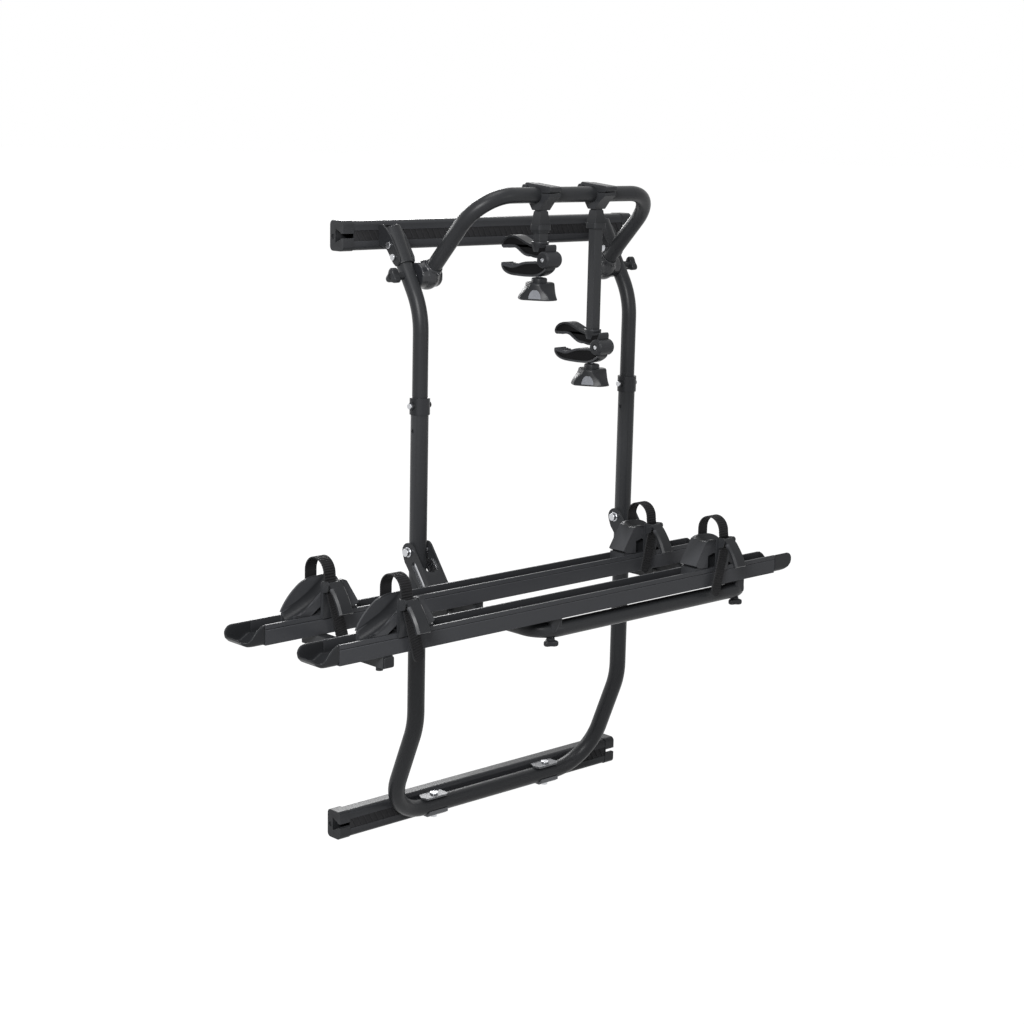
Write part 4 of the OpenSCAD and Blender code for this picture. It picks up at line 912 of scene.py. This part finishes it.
@dataclass(frozen=True)
class LobeKnob:
    """Small hand knob with three round lobes and a short neck.

    Attributes:
        node: CAD node that it stands for.
        axis: Way that it points, from its neck to its end.
        reach: Radius over a lobe, in millimetres.
        waist: Radius between two lobes.
        first: Angle of the first lobe, in degrees.
        neck: Radius of the neck.
        head: Height of the lobed head.
        shoulder: Height over the foot of the head and inset of each ring of its inner edge.
        crown: Depth below the end and inset of each ring of its outer edge.
    """

    node: str
    axis: Point
    reach: float
    waist: float
    first: float
    neck: float
    head: float
    shoulder: Line = ((0.0, 3.6), (0.7, 1.6), (2.2, 0.3), (3.6, 0.0))
    crown: Line = ((4.0, 0.0), (2.2, 0.5), (0.8, 1.9), (0.0, 4.2))

    def lobed(self, inset: float) -> Radius:
        """Radius function of a ring, drawn in by an inset."""

        def radius(turn: float) -> float:
            wave = 0.5 + 0.5 * math.cos(math.radians(3 * (turn - self.first)))
            return self.waist + (self.reach - self.waist) * wave**1.3 - inset

        return radius

    def build(self) -> None:
        """Builds the knob."""
        low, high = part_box(self.node)
        middle = (low + high) / 2
        axis = Vector(self.axis)
        long = abs(axis.dot(high - low)) / MM
        start = middle - axis * long / 2 * MM
        turn = axis.to_track_quat("Z", "Y").to_matrix().to_4x4()
        foot, neck = long - self.head, self.neck
        rings = [
            *turned((0.0, neck - 0.6), (0.6, neck), (foot - 1.2, neck), (foot - 0.2, neck + 1.4)),
            *((foot + over, self.lobed(inset)) for over, inset in self.shoulder),
            *((long - under, self.lobed(inset)) for under, inset in self.crown),
            *turned((long - 0.2, 5.6), (long - 1.6, 5.0)),
        ]
        bm = ring_stack(Matrix.Translation(start) @ turn, rings, 96)
        stand_in(self.node, "lobed", bm, MOULDED_NYLON)


# Sub-assemblies


@dataclass(frozen=True)
class KeptForms:
    """Pieces of a sub-assembly that keep the forms of their CAD nodes.

    Attributes:
        bare: Nodes that only get their finish.
        soft: Nodes whose edges are rounded, with the width of the rounding in millimetres.
        melted: Nodes that are melted, with the voxel size in millimetres and the steps.
    """

    bare: tuple[str, ...] = ()
    soft: tuple[tuple[str, float], ...] = ()
    melted: tuple[tuple[str, float, int], ...] = ()

    def build(self) -> None:
        """Dresses the pieces."""
        for node in self.bare:
            dress(node)
        for node, width in self.soft:
            soft_copy(node, width)
        for node, voxel, steps in self.melted:
            melt(stand_in(node, "melted", node_mesh(node)), voxel, steps)


# Pressed plates have an edge of about half a millimetre, and mouldings one of a millimetre or more.
CROSSBARS = KeptForms(
    bare=("lower_slot_strip", "lower_rear_pad", "upper_slot_strip", "upper_rear_pad"),
    soft=(
        ("lower_crossbar", 0.5), ("upper_crossbar", 0.5),
        ("lower_bar_caps", 1.4), ("upper_bar_caps", 1.4),
    ),
)  # fmt: skip
POSTS = KeptForms(
    bare=("lower_tube", "upper_tubes"),
    soft=(
        ("tube_clamps", 0.6), ("lower_bolts", 0.6), ("pivot_bolts", 0.6), ("upper_bolts", 0.6),
        ("post_collars", 1.0),
    ),
    melted=(("top_brackets", 0.8, 5),),
)  # fmt: skip
PLATFORM = KeptForms(
    bare=("platform_tube",),
    soft=(("pivot_brackets", 0.9), ("platform_bolts", 0.5), ("rail_saddles", 1.0)),
)
RAILS = KeptForms(
    soft=(("front_rail", 0.8), ("rear_rail", 0.8), ("tie_bar", 1.0)),
    melted=(("rail_end_caps", 1.1, 22),),
)
HAND_KNOBS = (
    LobeKnob("left_hoop_knob", (-1.0, 0.0, 0.0), 16.8, 11.0, 90.0, 7.5, 16.5),
    LobeKnob("right_hoop_knob", (1.0, 0.0, 0.0), 16.8, 11.0, 90.0, 7.5, 16.5),
    LobeKnob("left_rail_knob", (0.0, 0.0, -1.0), 15.6, 10.0, 0.0, 8.0, 11.0),
    LobeKnob("right_rail_knob", (0.0, 0.0, -1.0), 15.6, 10.0, 0.0, 8.0, 11.0),
)


@dataclass(frozen=True)
class Hoop:
    """The bent hoop with the two hubs that it ends in.

    Attributes:
        voxel: Size of the voxels that the hubs are melted together with, in millimetres.
        steps: Number of smoothing steps after that.
        belly: Radii of a hub's round belly.
        belly_inset: From the hub's outer end to the middle of the belly.
        flange: Radius of the flange against the post.
        knob_to_post: From the inner end of a hand knob to the post's far face.
    """

    voxel: float = 1.2
    steps: int = 12
    belly: Point = (25.0, 29.0, 29.0)
    belly_inset: float = 18.0
    flange: float = 25.5
    knob_to_post: float = 31.3

    def build(self) -> None:
        """Dresses the hoop, and melts each hub with a round belly and a flange at its post."""
        dress("hoop_tube")
        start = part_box("hoop_hubs")[1].x - self.belly_inset * MM
        low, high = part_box("left_hoop_knob")
        pivot_y = (low.y + high.y) / 2
        pivot_z = (low.z + high.z) / 2
        length = (-high.x - self.knob_to_post * MM - start) / MM
        rings = turned((0.0, self.flange), (length, self.flange - 1.0))
        parts = [node_mesh("hoop_hubs")]
        for way in (-1.0, 1.0):
            centre = Vector((way * start, pivot_y, pivot_z))
            ball = bmesh.new()
            bmesh.ops.create_uvsphere(ball, u_segments=48, v_segments=32, radius=MM)
            place = Matrix.Translation(centre) @ Matrix.Diagonal((*self.belly, 1.0))
            bmesh.ops.transform(ball, matrix=place, verts=ball.verts)
            parts += [ball, ring_stack(x_axis_place(centre, way), rings, 48)]
        hubs = stand_in("hoop_hubs", "melted", merged(*parts), POLISHED_NYLON)
        melt(hubs, self.voxel, self.steps)


@dataclass(frozen=True)
class HangingArm:
    """One arm on the hoop, with its screw jaw.

    Attributes:
        arm: Name of the arm, "short" or "long".
        half_width: Half the width of a jaw, in millimetres.
        rim: Widths of the outer and the inner strip of the rim round a jaw's sunk side panel.
        wall: Width of the panel's sloping wall.
        sunk: Depth of the panel.
        jaw_edge: Rounding of a jaw's outer edges.
        jaw_lines: Y and Z of the outline of each jaw from the jaw pin.
        grip_lines: The same for each jaw's gripping edge, tip first.
        teeth: Distance of each tooth of the pads from the tip.
        tooth: Height of a tooth.
        tooth_line: Place from a tooth's middle and share of its height.
        pad_proud: How far a pad stands proud of its jaw.
        pad_sunk: How deep it reaches into the jaw.
        pad_over: How far it stands out past the jaw's sides.
        barrel: Half the width and the radius of the round knuckle.
        barrel_edge: Distance from the knuckle's end and inset of each ring of its rounded edge.
        cup_line: Height over the jaw pin and radius of each ring of the cup round the tube.
        cover_line: Distance from the pin's end and radius of each ring of a knuckle cover.
        head_line: The same for the socket head of the pin.
    """

    arm: str
    half_width: float = 13.5
    rim: Pair = (1.26, 2.94)
    wall: float = 0.7
    sunk: float = 1.8
    jaw_edge: float = 2.0
    jaw_lines: tuple[Line, Line] = (
        (
            (123, 17), (123, 28), (113, 38), (99, 43), (84, 43), (70, 38), (54, 32), (40, 28),
            (26, 26), (8, 27), (-3, 30), (-6, 24), (-4, 13), (8, 5), (24, 1.5), (40, 4.5),
            (56, 5), (68, 11), (80, 20), (98, 20),
        ),
        (
            (124, -12), (123, -22), (115, -30), (100, -35), (80, -36), (50, -36), (22, -34),
            (6, -27), (-5, -18), (-3, -10), (8, -7), (24, -4), (44, -6), (60, -8), (72, -12),
            (90, -18), (110, -16),
        ),
    )  # fmt: skip
    grip_lines: tuple[Line, Line] = (
        (
            (121.0, 18.5), (112.0, 19.4), (98.0, 20.0), (88.0, 20.0), (80.0, 19.0),
            (70.0, 13.0), (60.0, 7.6), (52.0, 5.2), (44.0, 4.6),
        ),
        (
            (122.0, -13.2), (112.0, -15.6), (100.0, -17.0), (90.0, -17.0), (80.0, -14.6),
            (70.0, -11.4), (62.0, -9.0), (52.0, -7.2),
        ),
    )  # fmt: skip
    teeth: tuple[float, ...] = (5.0, 12.0, 19.0)
    tooth: float = 1.7
    tooth_line: Line = ((3.0, 0.0), (1.3, 1.0), (-1.3, 1.0), (-3.0, 0.0))
    pad_proud: float = 0.9
    pad_sunk: float = 3.4
    pad_over: float = 0.3
    barrel: Pair = (18.9, 16.4)
    barrel_edge: Line = ((2.4, 0.0), (0.9, 1.0), (0.0, 3.0))
    cup_line: Line = (
        (14.0, 13.4), (22.0, 15.6), (29.0, 17.0), (32.6, 17.2), (33.8, 16.6), (34.2, 15.4),
        (33.6, 14.2), (30.0, 13.6), (30.0, 6.0),
    )  # fmt: skip
    cover_line: Line = (
        (1.9, 14.6), (0.9, 14.6), (0.3, 13.9), (0.1, 13.0), (0.1, 7.4), (0.5, 6.7), (1.5, 6.3),
        (1.6, 3.0),
    )  # fmt: skip
    head_line: Line = ((1.5, 3.95), (0.6, 3.9), (0.2, 3.3), (0.3, 1.9), (1.3, 1.7))

    @property
    def pin(self) -> Vector:
        """Middle of the jaw pin."""
        low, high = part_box(f"{self.arm}_jaw_pin")
        return (low + high) / 2

    def build(self) -> None:
        """Builds the arm."""
        for part, edge in (("hanger", 1.2), ("lever", 1.6), ("tube", 1.4)):
            soft_copy(f"{self.arm}_arm_{part}", edge)
        for which, line in zip(("upper", "lower"), self.jaw_lines):
            self.jaw(which, line)
        self.knuckle()
        for which, line, up in zip(("upper", "lower"), self.grip_lines, (-1.0, 1.0)):
            self.pad(which, line, up)
        self.pin_and_covers()
        ClampKnob(self.arm).build()

    def moulding(self, name: str, bm: BMesh) -> None:
        """Adds a nylon piece that is one with the upper jaw."""
        body = NODE_BODY[f"{self.arm}_upper_jaw"]
        add_piece(f"{self.arm}_{name}", bm, MOULDED_NYLON, body, "black_plastic")

    def jaw(self, which: str, line: Line) -> None:
        """Draws a jaw's outline out, sinks a panel into each side and rounds the rest."""
        bm = slab(rounded(line, closed=True), self.pin, self.half_width)
        bm.normal_update()
        sides = [face for face in bm.faces if abs(face.normal.x) > 0.99]
        for width, depth in ((self.rim[0], 0.0), (self.rim[1], 0.0), (self.wall, -self.sunk)):
            bmesh.ops.inset_individual(
                bm, faces=sides, thickness=width * MM, depth=depth * MM, use_even_offset=True
            )
        # The sunk panels get the second material, whose darker colour is painted shade.
        for face in sides:
            face.material_index = 1
        edges = [
            edge
            for edge in sharp_edges(bm, 60.0)
            if abs(abs(edge.verts[0].co.x - self.pin.x) - self.half_width * MM) < 0.1 * MM
        ]
        round_edges(bm, edges, self.jaw_edge, 3)
        made = stand_in(f"{self.arm}_{which}_jaw", "moulded", bm, MOULDED_NYLON)
        made.data.materials.append(PANEL_NYLON_PAINTED_SHADE.material())

    def knuckle(self) -> None:
        """Builds the round knuckle behind the jaws and the cup round the tube."""
        half, radius = self.barrel
        edge = [(half - back, radius - inset) for back, inset in self.barrel_edge]
        barrel = ring_stack(x_axis_place(self.pin, 1.0), mirrored(edge), 72)
        self.moulding("knuckle_barrel", barrel)
        low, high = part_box(f"{self.arm}_arm_tube")
        middle = Vector((self.pin.x, (low.y + high.y) / 2, self.pin.z))
        cup = ring_stack(Matrix.Translation(middle), turned(*self.cup_line), 72)
        self.moulding("tube_socket", cup)

    def pad(self, which: str, line: Line, up: float) -> None:
        """Lays a toothed rubber pad along a jaw's gripping edge.

        Args:
            which: Name of the jaw.
            line: The edge, tip first.
            up: 1.0 where the pad faces up, -1.0 where it faces down.
        """
        edge = rounded(line)
        base = edge[::-1]
        half_tooth = self.tooth_line[0][0] - 0.1
        middles = [edge[0][0] - back for back in self.teeth]
        face = [
            (y, z + up * self.pad_proud)
            for y, z in edge
            if all(abs(y - middle) >= half_tooth for middle in middles)
        ]
        for middle in middles:
            for off, share in self.tooth_line:
                at = middle + off
                height = self.pad_proud + share * self.tooth
                face.append((at, along(base, at) + up * height))
        face.sort(key=lambda point: -point[0])
        back = [(y, z - up * self.pad_sunk) for y, z in base]
        bm = slab(face + back, self.pin, self.half_width + self.pad_over)
        soften(bm, 0.5, 50.0)
        body = NODE_BODY[f"{self.arm}_{which}_jaw"]
        add_piece(f"{self.arm}_{which}_pad", bm, JAW_RUBBER, body, "black_rubber")

    def pin_and_covers(self) -> None:
        """Builds the jaw pin with its socket heads, and the dished covers round them."""
        node = f"{self.arm}_jaw_pin"
        low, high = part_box(node)
        half = (high.x - low.x) / 2 / MM
        cover = turned(*((half - back, radius) for back, radius in self.cover_line))
        for side, way in (("left", -1.0), ("right", 1.0)):
            bm = ring_stack(x_axis_place(self.pin, way), cover, 64)
            self.moulding(f"{side}_knuckle_cover", bm)
        head = [(half - back, radius) for back, radius in self.head_line]
        pin = ring_stack(x_axis_place(self.pin, 1.0), mirrored(head), 36)
        name = f"{self.arm}_socket_pin"
        add_piece(name, pin, BRIGHT_ZINC, NODE_BODY[node], "bright_steel", [node])


@dataclass(frozen=True)
class WheelHolder:
    """One wheel holder with its ratchet strap.

    Attributes:
        name: Its place, such as "front_left".
        way: 1.0 where it opens to the left end of the rail, -1.0 where it opens to the right.
        edge: Rounding of the holder and of the lever, in millimetres.
        slope_at: Point of the slanted end, from the middle of the strap's arch on the rail.
        slope_way: Way that the slanted end faces.
        valley_x: X of the near and of the far end of the valley between the flanks.
        valley_foot: Height of the valley's bottom at these ends.
        valley_top: Height up to which the valley is cut.
        valley_half: Half its width at the bottom and at the top.
        width: Width of the strap.
        thick: Thickness of the strap between ribs.
        pitch: Distance between two ribs.
        rib: Height of a rib.
        rib_flank: Parts of the wave between which a rib rises.
        rib_side: Distances from the strap's sides between which the ribs rise.
        rib_end: The same from its end.
        radius: Radius of the strap's arch.
        arch_drop: From the top of the strap's box down to the arch's outer face.
        root: Where the strap's straight inner leg begins below the holder's top, and where it
            ends below the arch's middle.
        bend: Distance out and down from the arch's outer end of the points after it.
        tail_out: Distance out from the arch of the hanging end's top and of its foot.
        tail_down: Distance down from the arch's middle to its top.
        tail_lean: Slant of the strap's hanging end, in degrees.
        bow: How far the lever bows outwards in its middle.
    """

    name: str
    way: float
    edge: float = 1.2
    slope_at: Point = (38.0, 0.0, 63.0)
    slope_way: Point = (0.84, 0.0, 0.54)
    valley_x: Pair = (14.0, 84.0)
    valley_foot: Pair = (34.0, -2.0)
    valley_top: float = 75.0
    valley_half: Pair = (1.6, 11.0)
    width: float = 25.0
    thick: float = 2.4
    pitch: float = 5.0
    rib: float = 1.0
    rib_flank: Pair = (0.35, 0.75)
    rib_side: Pair = (1.0, 2.2)
    rib_end: Pair = (3.0, 8.0)
    radius: float = 30.0
    arch_drop: float = 0.9
    root: Pair = (30.0, 8.0)
    bend: Line = ((1.6, 12.0), (5.0, 22.0))
    tail_out: Pair = (5.6, 6.8)
    tail_down: float = 26.0
    tail_lean: float = 15.0
    bow: float = 4.0

    @property
    def middle(self) -> Vector:
        """Middle of the strap's arch on the top of the rail, in millimetres."""
        rail_low, rail_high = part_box(self.name.split("_")[0] + "_rail")
        low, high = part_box(f"{self.name}_buckle")
        x = (low.x + high.x) / 2 / MM
        return Vector((x, (rail_low.y + rail_high.y) / 2 / MM, rail_high.z / MM))

    def build(self) -> None:
        """Builds the holder."""
        self.holder()
        soft_copy(f"{self.name}_buckle", 0.9)
        self.lever()
        self.strap()

    def towards_end(self, offset: Sequence[float]) -> Vector:
        """Turns an offset that is drawn for a left holder the way that this one stands."""
        x, y, z = offset
        return Vector((self.way * x, y, z))

    def holder(self) -> None:
        """Slants the holder's inner end and opens the valley between its two flanks."""
        node = f"{self.name}_holder"
        cutter = bmesh.new()
        bmesh.ops.create_cube(cutter, size=2.0)
        for vert in cutter.verts:
            far, top = vert.co.x > 0, vert.co.z > 0
            y = math.copysign(self.valley_half[top], vert.co.y)
            z = self.valley_top if top else self.valley_foot[far]
            vert.co = (self.middle + self.towards_end((self.valley_x[far], y, z))) * MM
        bmesh.ops.recalc_face_normals(cutter, faces=cutter.faces)
        bm = node_mesh(node)
        cut = bmesh.ops.bisect_plane(
            bm,
            geom=[*bm.verts, *bm.edges, *bm.faces],
            dist=0.001 * MM,
            plane_co=(self.middle + self.towards_end(self.slope_at)) * MM,
            plane_no=self.towards_end(self.slope_way),
            clear_outer=True,
        )["geom_cut"]
        bmesh.ops.holes_fill(bm, edges=of_kind(cut, Edge), sides=0)
        bm = carved(bm, cutter)
        flatten(bm)
        soften(bm, self.edge)
        stand_in(node, "carved", bm, MOULDED_NYLON)

    def lever(self) -> None:
        """Copies the lever, bowed outwards like the moulded shell that it is."""
        node = f"{self.name}_lever"
        bm = node_mesh(node)
        long_edges = [edge for edge in bm.edges if edge.calc_length() > 20 * MM]
        bmesh.ops.subdivide_edges(bm, edges=long_edges, cuts=8, use_grid_fill=True)
        low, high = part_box(node)
        tall = high.z - low.z
        for vert in bm.verts:
            share = min(1.0, max(0.0, (vert.co.z - low.z) / tall))
            vert.co.y -= self.bow * MM * math.sin(math.pi * share) ** 1.2
        soften(bm, self.edge)
        stand_in(node, "bowed", bm, MOULDED_NYLON)

    def strap(self) -> None:
        """Sweeps the strap over its arch, through the buckle and down to its rounded end."""
        node = f"{self.name}_strap"
        low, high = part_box(node)
        holder_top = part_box(f"{self.name}_holder")[1].z / MM
        x, middle_y, _ = self.middle
        arch_z = high.z / MM - self.radius - self.thick / 2 - self.arch_drop
        inner, outer = middle_y + self.radius, middle_y - self.radius
        root, rise = self.root
        line = [(x, inner, holder_top - root, 0.0), (x, inner, arch_z - rise, 0.0)]
        for step in range(25):
            angle = math.radians(180 * step / 24)
            y = middle_y + self.radius * math.cos(angle)
            z = arch_z + self.radius * math.sin(angle)
            line.append((x, y, z, 1.0 if step > 5 else 0.0))
        for out, down in self.bend:
            line.append((x, outer - out, arch_z - down, 1.0))
        tail_top = arch_z - self.tail_down
        tail = tail_top - low.z / MM - 0.4
        lean = self.way * math.tan(math.radians(self.tail_lean))
        steps = 12
        for step in range(1, steps + 1):
            share = step / steps
            drop = tail * share
            y = outer - self.tail_out[0] - (self.tail_out[1] - self.tail_out[0]) * share
            line.append((x + lean * drop, y, tail_top - drop, 1.0))
        inside = Vector((x, middle_y, holder_top - 60.0)) * MM
        stand_in(node, "ribbed", self.sweep(line, inside), SOFT_RUBBER, 60.0)

    def sweep(self, line: Sequence[tuple[float, float, float, float]], inside: Vector) -> BMesh:
        """Lays a ribbed band along a line.

        Args:
            line: X, Y and Z of the band's middle in millimetres, and 1.0 where it has ribs.
            inside: Middle of the arch, in metres.

        Returns:
            The closed mesh.
        """
        points = [Vector(item[:3]) for item in line]
        ribs = [item[3] for item in line]
        lengths = [0.0]
        for one, two in zip(points, points[1:]):
            lengths.append(lengths[-1] + (two - one).length)
        total = lengths[-1]
        rows = int(total / 0.8)

        def spot(at: float) -> tuple[Vector, Vector, float]:
            for index in range(len(points) - 1):
                if at <= lengths[index + 1] + 1e-6:
                    share = (at - lengths[index]) / (lengths[index + 1] - lengths[index])
                    where = points[index].lerp(points[index + 1], share)
                    before = points[max(0, index - 1)]
                    after = points[min(len(points) - 1, index + 2)]
                    return where, (after - before).normalized(), ribs[index + 1]
            return points[-1], (points[-1] - points[-2]).normalized(), ribs[-1]

        def place(across: float, up: float) -> Vector:
            at = up * total
            where, way, ribbed = spot(at)
            side = Vector((1, 0, 0))
            side = (side - way * side.dot(way)).normalized()
            out = way.cross(side).normalized()
            left = total - at
            half = self.width / 2
            if left < half:
                half = math.sqrt(max(0.0, half * half - (half - left) ** 2))
            offset = (2 * across - 1) * half
            wave = 0.5 + 0.5 * math.cos(2 * math.pi * at / self.pitch)
            ribbed *= ease(half - abs(offset), *self.rib_side) * ease(left, *self.rib_end)
            height = self.rib * ease(wave, *self.rib_flank) * ribbed
            return (where + side * offset - out * (self.thick / 2 + height)) * MM

        return wrapped_grid(14, rows, place, inside, self.thick)


def main() -> None:
    """Builds the studio, the finishes and the pieces in order."""
    logging.basicConfig(level=logging.INFO, format="%(message)s")
    cad_low, cad_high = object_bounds()
    Camera().build()
    Studio(floor_z=cad_low.z).build()
    holders = (
        WheelHolder("front_left", 1.0), WheelHolder("rear_left", 1.0),
        WheelHolder("front_right", -1.0), WheelHolder("rear_right", -1.0),
    )  # fmt: skip
    arms = (HangingArm("short"), HangingArm("long"))
    for part in (CROSSBARS, POSTS, Hoop(), *arms, PLATFORM, RAILS, *HAND_KNOBS, *holders):
        part.build()
    bpy.context.scene.view_settings.view_transform = "Standard"


if __name__ == "__main__":
    main()
